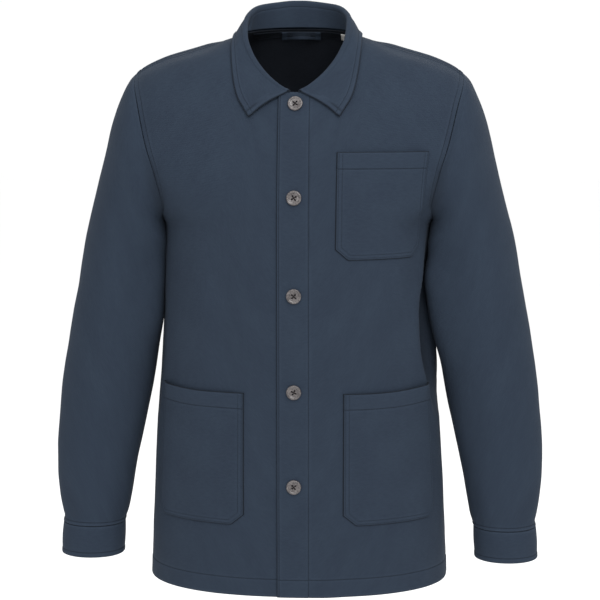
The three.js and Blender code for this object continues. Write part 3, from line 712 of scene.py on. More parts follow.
def addLines(cloth, lines, axis, atStart):
    grids = {"points": np.stack(lines[::-1] if atStart else lines, axis=axis)}
    edge = 0 if atStart else -1
    measured = "across" if axis == 1 else "down"
    for key in ("across", "down", "wear", "shade"):
        line = np.take(cloth[key], [edge] * len(lines), axis=axis)
        if key == measured:
            steps = np.array(tuckPlan["steps"]) * (-1 if atStart else 1)
            steps = steps[::-1] if atStart else steps
            line = line + (steps[None, :] if axis == 1 else steps[:, None])
        # the tucked rows are painted half dark, as painted shade under the neighbouring piece
        grids[key] = np.full_like(line, 0.5) if key == "shade" else line
    for key, grid in grids.items():
        parts = [grid, cloth[key]] if atStart else [cloth[key], grid]
        cloth[key] = np.concatenate(parts, axis=axis)
    # the finished cloth keeps its normals
    fresh, old = gridNormals(cloth["points"], cloth["around"]), cloth["normals"]
    offset = len(lines) if atStart else 0
    window = [slice(None), slice(None)]
    window[axis] = slice(offset, offset + old.shape[axis])
    fresh = fresh * signOf(fresh[tuple(window)], old)
    fresh[tuple(window)] = old
    cloth["normals"] = fresh


def makeShell(name, cloth, thickness, outside, inside):
    points, around = cloth["points"], cloth["around"]
    rows, columns = points.shape[:2]
    below = rows * columns
    inner = points - cloth["normals"] * thickness
    vertices = np.concatenate([points.reshape(-1, 3), inner.reshape(-1, 3)]) * mm
    index = np.arange(below).reshape(rows, columns)
    if around:
        index = np.concatenate([index, index[:, :1]], axis=1)
    a, b, c, d = index[:-1, :-1], index[1:, :-1], index[1:, 1:], index[:-1, 1:]
    outer = np.stack([a, b, c, d], axis=-1).reshape(-1, 4)
    flat, flatNormals = points.reshape(-1, 3), cloth["normals"].reshape(-1, 3)
    facing = np.cross(flat[outer[:, 2]] - flat[outer[:, 0]], flat[outer[:, 3]] - flat[outer[:, 1]])
    facing = np.sum(facing * flatNormals[outer].sum(axis=1), axis=-1)
    usual = np.sign(facing.sum())
    # cells that a corner of the cut folds over are turned back
    outer = np.where((facing * usual < 0)[:, None], outer[:, ::-1], outer)
    borders = [index[0], index[-1][::-1]]
    if not around:
        borders += [index[::-1, 0], index[:, -1]]
    rims = [np.stack([line[:-1], line[1:], line[1:] + below, line[:-1] + below], axis=-1) for line in borders]
    faces = np.concatenate([outer, outer[:, ::-1] + below] + rims)
    if usual < 0:
        faces = faces[:, ::-1]
    piece = addPiece(name, vertices.tolist(), faces.tolist(), outside, inside)
    slots = np.zeros(len(faces), int)
    slots[len(outer):len(outer) * 2] = 1
    piece.data.polygons.foreach_set("material_index", slots)
    # in z: rubbed wear lightens the cloth and painted shade darkens it
    tone = cloth["wear"] * (1 - np.minimum(1, cloth["shade"] * 3)) - cloth["shade"]
    laid = np.stack([cloth["across"], cloth["down"], tone], axis=-1).reshape(-1, 3)
    attribute = piece.data.attributes.new("clothMm", "FLOAT_VECTOR", "POINT")
    attribute.data.foreach_set("vector", np.concatenate([laid, laid]).ravel())
    piece.data.update()
    return piece


def dress(piece, slot, *nodes):
    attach(piece, "root")
    if nodes:
        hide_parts(*nodes)
    return piece


# Lockstitches are real threads laid along a line on the finished cloth
stitchPlan = {"pitch": 3.3, "length": 2.7, "radius": 0.24, "proud": 0.16, "sides": 5}
stitchRings = [(0.0, 0.35, -0.25), (0.2, 0.95, 0.35), (0.5, 1.0, 1.0), (0.8, 0.95, 0.35), (1.0, 0.35, -0.25)]
seams = {}


def sample(cloth, rowsAt, columnsAt):
    points, normals = cloth["points"], cloth["normals"]
    columns = points.shape[1]
    i = np.clip(np.floor(rowsAt).astype(int), 0, points.shape[0] - 2)
    a = (rowsAt - i)[:, None]
    if cloth["around"]:
        j = np.floor(columnsAt).astype(int) % columns
        k = (j + 1) % columns
        b = (columnsAt - np.floor(columnsAt))[:, None]
    else:
        j = np.clip(np.floor(columnsAt).astype(int), 0, columns - 2)
        k = j + 1
        b = (columnsAt - j)[:, None]
    point, normal = (
        mix(mix(grid[i, j], grid[i, k], b), mix(grid[i + 1, j], grid[i + 1, k], b), a)
        for grid in (points, normals))
    return point, unit(normal)


def lineDownPanel(cloth, at, fromEnd=False, rows=None):
    rows = np.arange(cloth["points"].shape[0]) if rows is None else rows
    columns = np.arange(cloth["points"].shape[1])
    spots = []
    for i in rows:
        length = cloth["across"][i]
        spots.append(np.interp(length[-1] - at if fromEnd else at, length, columns))
    return sample(cloth, np.array(rows, float), np.array(spots))


def lineAcrossPanel(cloth, at, fromEnd=False, columns=None):
    columns = np.arange(cloth["points"].shape[1]) if columns is None else columns
    rows = np.arange(cloth["points"].shape[0])
    spots = []
    for j in columns:
        length = cloth["down"][:, j % cloth["points"].shape[1]]
        spots.append(np.interp(length[-1] - at if fromEnd else at, length, rows))
    return sample(cloth, np.array(spots), np.array(columns, float))


def sew(seam, line):
    points, normals = line
    steps = np.linalg.norm(np.diff(points, axis=0), axis=1)
    length = np.concatenate([[0], np.cumsum(steps)])
    if length[-1] < 2 * stitchPlan["pitch"]:
        return
    count = int(length[-1] / stitchPlan["pitch"])
    starts = (np.arange(count) + 0.5) * length[-1] / count - stitchPlan["length"] / 2
    angles = np.arange(stitchPlan["sides"]) * 2 * math.pi / stitchPlan["sides"]
    rings = []
    for share, width, height in stitchRings:
        at = starts + share * stitchPlan["length"]
        place = np.stack([np.interp(at, length, points[:, k]) for k in range(3)], axis=-1)
        up = unit(np.stack([np.interp(at, length, normals[:, k]) for k in range(3)], axis=-1))
        behind, ahead = (
            np.stack([np.interp(at + step, length, points[:, k]) for k in range(3)], axis=-1)
            for step in (-0.5, 0.5))
        beside = unit(np.cross(up, unit(ahead - behind)))
        middle = place + up * (height * stitchPlan["proud"])
        radius = stitchPlan["radius"] * width
        ring = (middle[:, None] + radius * (np.cos(angles)[None, :, None] * beside[:, None]
                                            + np.sin(angles)[None, :, None] * up[:, None] * 0.8))
        rings.append(ring)
    seams.setdefault(seam, []).append(np.stack(rings, axis=1))


def makeStitches(name, lines, material):
    stitches = np.concatenate(lines)
    count, rings, sides = stitches.shape[:3]
    index = np.arange(rings * sides).reshape(rings, sides)
    turned = np.roll(index, -1, axis=1)
    quads = np.stack([index[:-1], turned[:-1], turned[1:], index[1:]], axis=-1).reshape(-1, 4)
    faces = []
    for k in range(count):
        offset = k * rings * sides
        faces.extend((quads + offset).tolist())
        faces.append((index[0][::-1] + offset).tolist())
        faces.append((index[-1] + offset).tolist())
    return dress(addPiece(name, (stitches.reshape(-1, 3) * mm).tolist(), faces, material), "cloth")


# Body panels: fronts with a button band on the wearer's left, and a plain back
def torsoSize(point):
    x, y, z = point[..., 0], point[..., 1], point[..., 2]
    drop = np.maximum(-14, -z)
    b = np.where(y < 0, depthAt(-1, drop), depthAt(1, drop))
    power = bodyPlan["power"]
    return ((np.abs(x) / halfWidthAt(drop)) ** power + (np.abs(y) / b) ** power) ** (1 / power)


panelPlan = {
    "wall": 1.3,
    "hemLine": 25,
    "seamLine": 7.3,
    "edgeLine": 3.0,
    "bandLine": 43,
    "frontCells": 62,
    "backCells": 130,
    "rowCells": 205,
    "widestCell": 3.4,
}


# Painted shade in the crease that deepens towards the underarm, where the sleeve head falls over the body
creasePlan = {"deepens": (110, 215), "ends": (285, 262), "shade": 0.42, "width": 4, "widens": 9}


def shadeArmhole(cloth, distance):
    plan = creasePlan
    drop = -cloth["points"][..., 2]
    deep = smooth(*plan["deepens"], drop) * smooth(*plan["ends"], drop)
    atLeast(cloth, "shade", plan["shade"] * deep * bell(distance, plan["width"] + plan["widens"] * deep))


# the armhole seam lies nearly flat on the shoulder and fuller below it
def fullnessAt(z):
    return mix(seamPlan["flatShare"], 1, smooth(seamPlan["flatUntil"], seamPlan["fullFrom"], -z))


# Little light gets into the wedge beside the left sleeve, where the front lies inside the torso's form
wedgePlan = {
    "beside": (110, 140),
    "starts": (270, 300),
    "ends": (530, 480),
    "sunk": (0.985, 0.9),
    "shade": 0.6,
}


def shadeWedge(cloth):
    plan = wedgePlan
    x, drop = cloth["points"][..., 0], -cloth["points"][..., 2]
    beside = smooth(*plan["beside"], x) * smooth(*plan["ends"], drop) * smooth(*plan["starts"], drop)
    cloth["shade"] = plan["shade"] * smooth(*plan["sunk"], torsoSize(cloth["points"])) * beside


def makeFront(side):
    plan = panelPlan
    name = "frontLeft" if side > 0 else "frontRight"
    start = roundedEdge(plan["edgeLine"], plan["bandLine"]) if side > 0 else roundedEdge()
    startSpots = fillGaps(start, plan["widestCell"])
    hemSpots = fillGaps(roundedEdge(plan["hemLine"]), plan["widestCell"])
    points = layGrid(
        frontSurface(side),
        {"start": startSpots, "end": roundedEdge(plan["seamLine"]), "cells": plan["frontCells"]},
        {"start": roundedEdge(plan["seamLine"]), "end": hemSpots, "cells": plan["rowCells"]})
    cloth = clothOf(points, gridSign(points), guide=bodyOutward(points, -1))
    if side > 0:
        shadeWedge(cloth)
    for edge in ("fromStart", "toBottom"):
        turnEdge(cloth, cloth[edge])
    fullness = fullnessAt(points[..., 2])
    turnEdge(cloth, cloth["toEnd"], seamPlan["sewnDepth"] * fullness, seamPlan["sewnShade"] * fullness)
    turnEdge(cloth, cloth["fromTop"], seamPlan["sewnDepth"], seamPlan["sewnShade"])
    shadeArmhole(cloth, cloth["toEnd"])
    onShoulder = smooth(70, 90, np.abs(points[..., 0]))
    sinkStitches(cloth, cloth["toBottom"], plan["hemLine"], cloth["across"], 11 + side, pucker=0.9)
    onArmhole = smooth(-268, -252, points[..., 2]) * fullness
    sinkStitches(cloth, cloth["toEnd"], plan["seamLine"], cloth["down"], 13 + side, mask=onArmhole)
    sinkStitches(cloth, cloth["fromTop"], plan["seamLine"], cloth["across"], 15 + side, mask=onShoulder)
    if side > 0:
        sinkStitches(cloth, cloth["fromStart"], plan["edgeLine"], cloth["down"], 17, ridge=False, pucker=0.5)
        sinkStitches(cloth, cloth["fromStart"], plan["bandLine"], cloth["down"], 18, pucker=0.8)
    shape(cloth)
    piece = makeShell(name, cloth, plan["wall"], twill, twillInsideShaded)
    dress(piece, "cloth", "front_left" if side > 0 else "front_right")
    pastNeck = np.abs(points[0, :, 0]) > bodyPlan["neckHalfWidth"] + 1
    aboveUnderarm = points[:, -1, 2] > -bodyPlan["underarmDrop"]
    shoulderColumns = [j for j in range(points.shape[1]) if pastNeck[j]]
    armholeRows = [i for i in range(4, points.shape[0]) if aboveUnderarm[i]]
    sew("hem", lineAcrossPanel(cloth, plan["hemLine"], True))
    sew("armhole", lineDownPanel(cloth, plan["seamLine"], True, armholeRows))
    sew("shoulder", lineAcrossPanel(cloth, plan["seamLine"], False, shoulderColumns))
    if side > 0:
        sew("band", lineDownPanel(cloth, plan["edgeLine"]))
        sew("band", lineDownPanel(cloth, plan["bandLine"]))
    return piece


def makeBack():
    plan = panelPlan
    seamSpots = roundedEdge(plan["seamLine"])
    hemSpots = fillGaps(roundedEdge(plan["hemLine"]), plan["widestCell"])
    points = layGrid(
        backSurface,
        {"start": seamSpots, "end": seamSpots, "cells": plan["backCells"]},
        {"start": roundedEdge(), "end": hemSpots, "cells": plan["rowCells"]})
    cloth = clothOf(points, gridSign(points), guide=bodyOutward(points, 1))
    turnEdge(cloth, cloth["toBottom"])
    for edge in ("fromStart", "toEnd", "fromTop"):
        turnEdge(cloth, cloth[edge], seamPlan["sewnDepth"], seamPlan["sewnShade"])
    sinkStitches(cloth, cloth["toBottom"], plan["hemLine"], cloth["across"], 21, pucker=0.9)
    for seed, edge in ((22, "fromStart"), (23, "toEnd")):
        sinkStitches(cloth, cloth[edge], plan["seamLine"], cloth["down"], seed)
    shape(cloth)
    stitched = dict(cloth)
    outX = np.abs(cloth["points"][0, :, 0])
    onShoulder = smooth(78, 88, outX) * smooth(224, 214, outX)
    line, inner = cloth["points"][0], cloth["points"][6]
    addLines(cloth, tuckLines(line, unit(line - inner), cloth["normals"][8], onShoulder), 0, True)
    for atStart in (True, False):
        edge, inside, flat = (0, 6, 8) if atStart else (-1, -7, -9)
        line, inner = cloth["points"][:, edge], cloth["points"][:, inside]
        below = smooth(-264, -272, line[:, 2])
        tucks = tuckLines(line, unit(line - inner), cloth["normals"][:, flat], below)
        addLines(cloth, tucks, 1, atStart)
    piece = makeShell("backPanel", cloth, plan["wall"], twill, twillInsideShaded)
    dress(piece, "cloth", "back")
    sew("hem", lineAcrossPanel(stitched, plan["hemLine"], True))
    for fromEnd in (False, True):
        sew("armhole", lineDownPanel(stitched, plan["seamLine"], fromEnd))
    return piece


frontLeft = makeFront(1)
frontRight = makeFront(-1)
back = makeBack()
print("body panels made")

# Sleeves: one piece each with a seam under the arm
sleeveForm = table("ring outerX outerDrop innerX innerDrop frontY backY", [
    (0, 226, 57, 186, 262, -86, 88), (1, 235, 65, 190, 264, -88, 90), (2, 247, 88, 191, 267, -88, 89),
    (3, 258, 119, 191, 278, -86, 86), (4, 271, 172, 188, 295, -82, 81), (5, 286, 232, 188.5, 320, -77, 75),
    (6, 299, 286, 190, 352, -73, 69), (7, 309, 342, 192.2, 392, -70, 63),
    (8, 320, 399, 197, 434, -67, 57), (9, 330, 462, 203.5, 482, -65, 50),
    (10, 337, 522, 214, 532, -64, 43), (11, 341, 575, 225, 581, -63, 37),
    (12, 341, 610, 231.5, 613, -63, 34), (13, 339, 642, 236.5, 643, -62, 31),
    (14, 335, 668, 241.5, 668, -60, 27), (15, 333, 677, 244.5, 677, -59, 25),
    (16, 334, 684.6, 246.5, 684.6, -59, 25),
])
# angle is 0 on the outer side, 90 in front, 180 against the body and 270 behind
sleeveFolds = table("side angle drop spread reach depth lean", [
    (1, 128, 330, 16, 40, -1.8, 12), (1, 60, 470, 20, 34, -1.4, -16), (1, 118, 520, 18, 42, -1.6, 14),
    (1, 250, 470, 22, 36, -2.0, 15), (1, 60, 655, 18, 20, -1.6, 22), (1, 120, 640, 14, 26, 1.4, -10),
    (1, 20, 600, 18, 40, 1.2, 8), (1, 290, 300, 20, 60, -1.6, -10), (1, 225, 620, 16, 34, -1.7, 12),
    (1, 85, 250, 14, 50, -1.2, 10), (1, 330, 420, 18, 50, 1.2, 6), (1, 95, 668, 9, 14, -1.2, 0),
    (-1, 120, 340, 16, 42, -1.9, -12), (-1, 66, 455, 20, 34, -1.3, 16), (-1, 112, 540, 18, 42, -1.7, -14),
    (-1, 255, 455, 22, 36, -2.0, -15), (-1, 50, 660, 18, 20, -1.5, -22), (-1, 115, 650, 14, 26, 1.4, 10),
    (-1, 24, 590, 18, 40, 1.1, -8), (-1, 285, 310, 20, 60, -1.6, 10), (-1, 230, 610, 16, 34, -1.7, -12),
    (-1, 80, 240, 14, 50, -1.1, -10), (-1, 325, 430, 18, 50, 1.2, -6), (-1, 88, 670, 9, 14, -1.2, 0),
])
sleevePlan = {
    "power": 2.1,
    "blendRings": 5,
    "columns": 128,
    "rowCells": 190,
    "wall": 1.3,
    "endLine": 5.2,
    "ringBias": 1.12,  # rings stand closer near the armhole
    "girth": 400,
    "seamTurn": 184,
    "seamGirth": 330,
    "pushWay": (-0.9, -0.34),  # towards the body and forwards
    "waves": ((0.8, 70, 31), (0.3, 27, 33)),
}


def ringPoint(form, side, at, angle):
    value = {key: follow(form, "ring", key, at) for key in form if key != "ring"}
    power = 2 / sleevePlan["power"]
    cosine, sine = np.cos(angle), np.sin(angle)
    along = np.sign(cosine) * np.abs(cosine) ** power
    across = -np.sign(sine) * np.abs(sine) ** power
    x, y, drop = (
        (value[high] + value[low]) / 2 + share * (value[high] - value[low]) / 2
        for high, low, share in (
            ("outerX", "innerX", along), ("backY", "frontY", across), ("outerDrop", "innerDrop", along)))
    return np.stack(np.broadcast_arrays(side * x, y, -drop), axis=-1)


def armholeFrame(side, angle):
    angle = np.mod(angle, 2 * math.pi)
    step = np.minimum(angle, 2 * math.pi - angle)
    drop = mix(bodyPlan["tipDrop"], bodyPlan["underarmDrop"], (1 - np.cos(step)) / 2)
    made = []
    for face, key in ((-1, "front"), (1, "back")):
        turn = angleOf(follow(armholeForm, "drop", key, drop), drop)
        made.append(torsoAt(face, side * turn, drop))
    inFront = (angle <= math.pi)[..., None]
    point, normal = (np.where(inFront, front, rear) for front, rear in zip(*made))
    return rollForward(point), normal


def sleeveSurface(side):
    def surface(u, v):
        at = sleeveForm["ring"][-1] * v ** sleevePlan["ringBias"]
        angle = 2 * math.pi * u
        blend = np.clip(1 - at / sleevePlan["blendRings"], 0, 1) ** 2
        shift = armholeFrame(side, angle)[0] - ringPoint(sleeveForm, side, np.zeros_like(at), angle)
        return ringPoint(sleeveForm, side, at, angle) + shift * blend[..., None]
    return surface


# sleeve cloth pressed towards the body and forwards, beside the dark wedge and under the arm
sleevePresses = table("side angle drop spread reach depth lean", [
    (1, 156, 270, 30, 24, 10, 0), (1, 147, 332, 26, 46, 23, 0), (1, 150, 385, 26, 34, 9, 0),
    (1, 150, 422, 24, 36, 8, 0),
    (-1, 156, 270, 30, 24, 10, 0), (-1, 150, 322, 26, 44, 10, 0), (-1, 150, 388, 26, 40, 9, 0),
])


# Rows of the sleeve's own allowance, from the armhole inwards: reach and depth
sleeveTucks = ((-0.4, 1.9), (1.2, 3.3), (6, 3.7))


def armholeTuck(side, columns):
    angle = 2 * math.pi * np.arange(columns) / columns
    point, normal = armholeFrame(side, angle)
    tangent = unit(armholeFrame(side, angle + 0.01)[0] - armholeFrame(side, angle - 0.01)[0])
    inward = unit(np.cross(normal, tangent))
    outwards = unit(point - point.mean(axis=0)) + np.array([-0.8 * side, 0, 0])
    inward = inward * np.sign(np.sum(inward * outwards, axis=-1))[:, None]
    return [point + inward * reach - normal * depth for reach, depth in sleeveTucks]


def wrappedFold(folds, side, turn, drop):
    total = np.zeros(turn.shape)
    for own, angle, at, spread, reach, depth, lean in zip(*folds.values()):
        if own == side:
            away = (turn - angle - lean * (drop - at) / 100 + 180) % 360 - 180
            total = total + depth * np.exp(-(away / spread) ** 2 - ((drop - at) / reach) ** 2)
    return total


def makeSleeve(side):
    plan = sleevePlan
    points = layGrid(
        sleeveSurface(side), plan["columns"],
        {"start": roundedEdge(), "end": roundedEdge(plan["endLine"]), "cells": plan["rowCells"]}, around=True)
    cloth = tubeCloth(points)
    turn = 360 * np.arange(plan["columns"])[None, :] / plan["columns"] + np.zeros(points.shape[:2])
    drop = -points[..., 2]
    around = turn / 360 * plan["girth"]
    fromUnderarm = np.abs(around - plan["girth"] / 2)
    folds = wrappedFold(sleeveFolds, side, turn, drop) + waves(fromUnderarm, drop, plan["waves"], side)
    free = smooth(4, 40, cloth["fromTop"]) * smooth(0, 10, cloth["toBottom"])
    nearBody = smooth(150, 175, turn) * smooth(210, 185, turn) * smooth(430, 330, drop)
    cloth["lift"] = free * folds * (1 - nearBody)
    push = wrappedFold(sleevePresses, side, turn, drop) * smooth(0, 9, cloth["fromTop"])
    inwards, forwards = plan["pushWay"]
    cloth["points"] = cloth["points"] + push[..., None] * np.array([inwards * side, forwards, 0])
    shape(cloth)
    fromSeam = np.abs(turn - plan["seamTurn"]) / 360 * plan["seamGirth"]
    cloth["lift"] = -0.5 * bell(fromSeam, 1.6) * smooth(2, 12, cloth["fromTop"])
    fullness = fullnessAt(cloth["points"][..., 2])
    turnEdge(cloth, cloth["fromTop"], 1.1 * fullness, seamPlan["sewnShade"] * fullness)
    shadeArmhole(cloth, cloth["fromTop"])
    turnEdge(cloth, cloth["toBottom"], 1.0, 0.1)
    sinkStitches(cloth, cloth["toBottom"], plan["endLine"], around, 35 + side, pucker=1.6)
    # fullness gathered into the cuff and eased into the armhole
    for edge, height, reach, flat, cell, seed in (
            ("toBottom", 0.5, 22, 4, 13, 37), ("fromTop", 0.32, 10, 3, 9, 39)):
        gathers = height * softNoise(around, 0, cell, seed + side)
        cloth["lift"] += gathers * np.exp(-cloth[edge] / reach) * smooth(0, flat, cloth[edge])
    shape(cloth)
    stitched = dict(cloth)
    addLines(cloth, armholeTuck(side, plan["columns"]), 0, True)
    name = "sleeveLeft" if side > 0 else "sleeveRight"
    piece = makeShell(name, cloth, plan["wall"], twill, twillInsideShaded)
    dress(piece, "cloth", "sleeve_left" if side > 0 else "sleeve_right")
    sew("cuff", lineAcrossPanel(stitched, plan["endLine"], True, np.arange(plan["columns"] + 1)))
    return piece


cuffForm = table("ring outerX outerDrop innerX innerDrop frontY backY", [
    (0, 334, 685.2, 246.5, 685.2, -59, 25), (1, 336, 707, 247.5, 707, -60, 26),
    (2, 337, 730, 248.5, 730, -60, 26),
])
cuffPlan = {
    "columns": 110,
    "columnMm": 2.7,
    "cells": 8,
    "wall": 2.3,
    "topLine": 2.2,
    "bottomLine": 7.2,
    "height": 38,
}


def makeCuff(side):
    plan = cuffPlan

    def surface(u, v):
        return ringPoint(cuffForm, side, 2 * v, 2 * math.pi * u)
    points = layGrid(surface, plan["columns"], {
        "start": roundedEdge(plan["topLine"]), "end": roundedEdge(plan["bottomLine"]), "cells": plan["cells"],
    }, around=True)
    cloth = tubeCloth(points)
    around = np.arange(plan["columns"])[None, :] * plan["columnMm"] + np.zeros(points.shape[:2])
    turnEdge(cloth, cloth["fromTop"], 0.6, 0.1)
    turnEdge(cloth, cloth["toBottom"], 1.7)
    sinkStitches(cloth, cloth["toBottom"], plan["bottomLine"], around, 41 + side)
    cloth["lift"] += 0.5 * np.sin(math.pi * np.clip(cloth["fromTop"] / plan["height"], 0, 1))
    cloth["lift"] += 0.25 * softNoise(around, cloth["down"], 18, 43)
    shape(cloth)
    piece = makeShell("cuffLeft" if side > 0 else "cuffRight", cloth, plan["wall"], twill, twillInsideShaded)
    dress(piece, "cloth", "cuff_left" if side > 0 else "cuff_right")
    sew("cuff", lineAcrossPanel(cloth, plan["bottomLine"], True, np.arange(plan["columns"] + 1)))
    return piece


for side in (1, -1):
    sleeve = makeSleeve(side)
    cuff = makeCuff(side)
print("sleeves and cuffs made")

# Collar: up from the neck seam inside, over the roll and down to the edge of the leaf
collarForm = table("from rollX rollY rollZ edgeX edgeY", [
    (0, 0, 63, 43.8, 0, 80), (8, 9.5, 62.4, 43.7, 13, 79.7), (16, 19, 60.6, 43, 26, 78.4),
    (25, 29, 57, 41.8, 39, 75.6), (34, 38, 51.6, 40.6, 51, 70.8), (42, 46, 45.4, 39.4, 60.5, 65),
    (50, 53, 38, 38, 69, 57.4),
    (60, 60.2, 27, 35, 77.5, 44.5), (70, 65, 15, 31, 83.5, 30),
    (85, 70, -8, 23, 87, 4), (95, 71, -28, 14, 87, -24), (105, 70, -48, 1, 87, -46),
    (120, 61.5, -68, -22, 85.5, -67), (135, 45.5, -82, -45, 81.5, -84), (150, 29.5, -92, -60, 76, -94),
    (165, 14.5, -97, -70, 66.5, -102), (172, 7.5, -99, -73, 60, -106.5),
])
collarPlan = {
    "columns": 190,
    "cells": 96,
    "length": 305,
    "rollRadius": 3.2,
    "endRadius": 2.0,
    "shift": 1.5,
    "wall": 2.4,
    "leafLine": 6.5,
    "standLine": 9,
    "clearance": 2.9,
}


def neckSeamPoint(side, turn):
    made = []
    for face in (-1, 1):
        reach = np.where(face < 0, turn, 180 - turn) * math.pi / 180
        reach = np.clip(reach, 0, math.pi / 2)
        drop = neckDropAt(face, reach)
        made.append(torsoAt(face, side * angleOf(bodyPlan["neckHalfWidth"] * np.sin(reach), drop), drop))
    front = (turn < 90)[..., None]
    return np.where(front, made[0][0], made[1][0]), np.where(front, made[0][1], made[1][1])


def restDropAt(x, y):
    low, high = np.full(x.shape, -14.0), np.full(x.shape, 150.0)
    for _ in range(40):
        middle = (low + high) / 2
        outside = torsoSize(np.stack([x, y, -middle], axis=-1)) > 1
        low, high = np.where(outside, middle, low), np.where(outside, high, middle)
    return (low + high) / 2


def clearOfTorso(point, clearance):
    for _ in range(4):
        size = torsoSize(point)
        steps = np.eye(3) * 0.5
        slope = np.stack([torsoSize(point + step) - torsoSize(point - step) for step in steps], axis=-1)
        steep = np.linalg.norm(slope, axis=-1)
        short = np.maximum(0, clearance - (size - 1) / steep)
        point = point + unit(slope) * short[..., None]
    return point


def throughPoints(controls, plan):
    steps = np.linalg.norm(np.diff(controls, axis=1), axis=2)
    knots = np.concatenate([np.zeros((len(controls), 1)), np.cumsum(steps, axis=1)], axis=1)
    tangents = np.empty_like(controls)
    tangents[:, 1:-1] = (controls[:, 2:] - controls[:, :-2]) / (knots[:, 2:] - knots[:, :-2])[..., None]
    tangents[:, 0] = (controls[:, 1] - controls[:, 0]) / steps[:, :1]
    tangents[:, -1] = (controls[:, -1] - controls[:, -2]) / steps[:, -1:]
    lines = []
    for k in range(len(controls)):
        length = knots[k, -1]
        end = length - np.array(plan["end"])[::-1]
        start = np.array(plan["start"])
        spots = np.concatenate([start, np.linspace(start[-1], end[0], plan["cells"] + 1)[1:-1], end])
        i = np.clip(np.searchsorted(knots[k], spots, side="right") - 1, 0, controls.shape[1] - 2)
        width = steps[k][i]
        t = ((spots - knots[k][i]) / width)[:, None]
        lines.append(hermite(
            t, width[:, None], controls[k][i], controls[k][i + 1], tangents[k][i], tangents[k][i + 1]))
    return np.array(lines)


def collarSections(along):
    plan = collarPlan
    side = np.where(along < 0, -1.0, 1.0)
    turnedFrom = collarForm["from"][-1] * np.abs(along)
    turn = 180 - turnedFrom
    seam, normal = neckSeamPoint(side, turn)
    ends = smooth(0.8, 1, np.abs(along))
    bandLift = np.where(turn < 90, placketLift(np.abs(seam[:, 0])), 0)
    start = seam + normal * (bandLift - bodyPlan["cloth"] / 2)[:, None]
    start[:, 2] += bodyPlan["cloth"] / 2 + bodyPlan["seamGap"] + 1.3
    start[:, 2] += 0.9 * smooth(0.5, 0.8, np.abs(along))
    rollY, edgeY = (follow(collarForm, "from", key, turnedFrom) for key in ("rollY", "edgeY"))
    shift = [plan["shift"] + 0.03 * np.maximum(0, y) for y in (rollY, edgeY)]
    rollX = side * follow(collarForm, "from", "rollX", turnedFrom) - shift[0]
    edgeX = side * follow(collarForm, "from", "edgeX", turnedFrom) - shift[1]
    roll = np.stack([rollX, rollY, follow(collarForm, "from", "rollZ", turnedFrom)], axis=-1)
    edge = np.stack([edgeX, edgeY, -restDropAt(edgeX, edgeY)], axis=-1)
    out = unit((edge - roll) * np.array([1, 1, 0]))
    radius = mix(plan["rollRadius"], plan["endRadius"], ends)[:, None]
    up = np.array([0, 0, 1.0])
    centre = roll - radius * up
    foot = centre - out * radius
    points = [start, mix(start, foot, 0.5)]
    for k in range(5):
        arc = math.pi * k / 4
        points.append(centre - out * radius * math.cos(arc) + up * radius * math.sin(arc))
    head = points[-1]
    for t in (0.34, 0.67, 1):
        bow = (math.sin(math.pi * t) * mix(3, 1, smooth(60, 85, turn)))[:, None]
        point = mix(head, edge, t) + out * bow + up * bow * 0.5
        points.append(clearOfTorso(point, plan["clearance"] + placketLift(np.abs(point[:, 0]))))
    return np.stack(points, axis=1)


def makeCollar():
    plan = collarPlan
    spots = np.array(fillGaps(roundedEdge(plan["leafLine"]), 3))
    near = spots / plan["length"] * 2
    middle = np.linspace(-1 + near[-1], 1 - near[-1], plan["columns"])[1:-1]
    along = np.concatenate([-1 + near, middle, (1 - near)[::-1]])
    points = throughPoints(collarSections(along), {
        "start": fillGaps([0, 1, 2.2], 2), "end": roundedEdge(plan["leafLine"]), "cells": plan["cells"]})
    points = points.transpose(1, 0, 2)
    cloth = clothOf(points, 1)
    outwards = points[-8, points.shape[1] // 2] * np.array([0, 1, 0])
    cloth["normals"] *= np.sign(np.dot(cloth["normals"][-8, points.shape[1] // 2], outwards))
    onLeaf = smooth(40, 22, cloth["toBottom"])
    leaf = smooth(46, 38, cloth["toBottom"])
    turnEdge(cloth, cloth["toBottom"], 1.9)
    for edge in ("fromStart", "toEnd"):
        depth = 0.3 + 1.4 * smooth(60, 30, cloth["toBottom"]) * smooth(0, 5, cloth["toBottom"])
        turnEdge(cloth, cloth[edge], depth)
    sinkStitches(cloth, cloth["toBottom"], plan["leafLine"], cloth["across"], 51, pucker=0.7)
    for seed, edge in ((52, "fromStart"), (53, "toEnd")):
        sinkStitches(cloth, cloth[edge], plan["leafLine"], cloth["down"], seed, mask=leaf, pucker=0.6)
    cloth["lift"] += 0.5 * softNoise(cloth["across"], cloth["down"], 34, 54) * onLeaf
    columnsAll = np.arange(points.shape[1])
    top = np.argmax(points[..., 2], axis=0)
    standAt = cloth["down"][top, columnsAll] - plan["standLine"]
    behind = smooth(-30, 0, points[top, columnsAll, 1])[None, :]
    away = np.abs(cloth["down"] - standAt[None, :])
    sinkStitches(cloth, away, 0, cloth["across"], 55, mask=behind, ridge=False, pucker=0.7)
    shape(cloth)
    cloth["points"] = cloth["points"] + cloth["normals"] * plan["wall"] / 2
    piece = makeShell("collarLeaf", cloth, plan["wall"], twill, twill)
    dress(piece, "cloth", "collar")
    columns = range(len(spots) - 3, points.shape[1] - len(spots) + 3)
    sew("collar", lineAcrossPanel(cloth, plan["leafLine"], True, columns))
    backColumns = [j for j in columns if behind[0, j] > 0.5]
    standRows = [np.interp(standAt[j], cloth["down"][:, j], np.arange(points.shape[0])) for j in backColumns]
    sew("collar", sample(cloth, np.array(standRows), np.array(backColumns, float)))
    rows = range(points.shape[0] - 26, points.shape[0] - 4)
    for fromEnd in (False, True):
        sew("collar", lineDownPanel(cloth, plan["leafLine"], fromEnd, rows))
    return piece


collar = makeCollar()
print("collar made")

# Patch pockets with a deep hem and cut corners
pocketPlan = {
    "wall": 1.7,
    "lift": 0.5,
    "mouthStand": 1.6,
    "corner": 15,
    "edgeLine": 2.6,
    "secondLine": 7,
    "hemLine": 22,
    "cells": 42,
    "rowCells": 46,
}
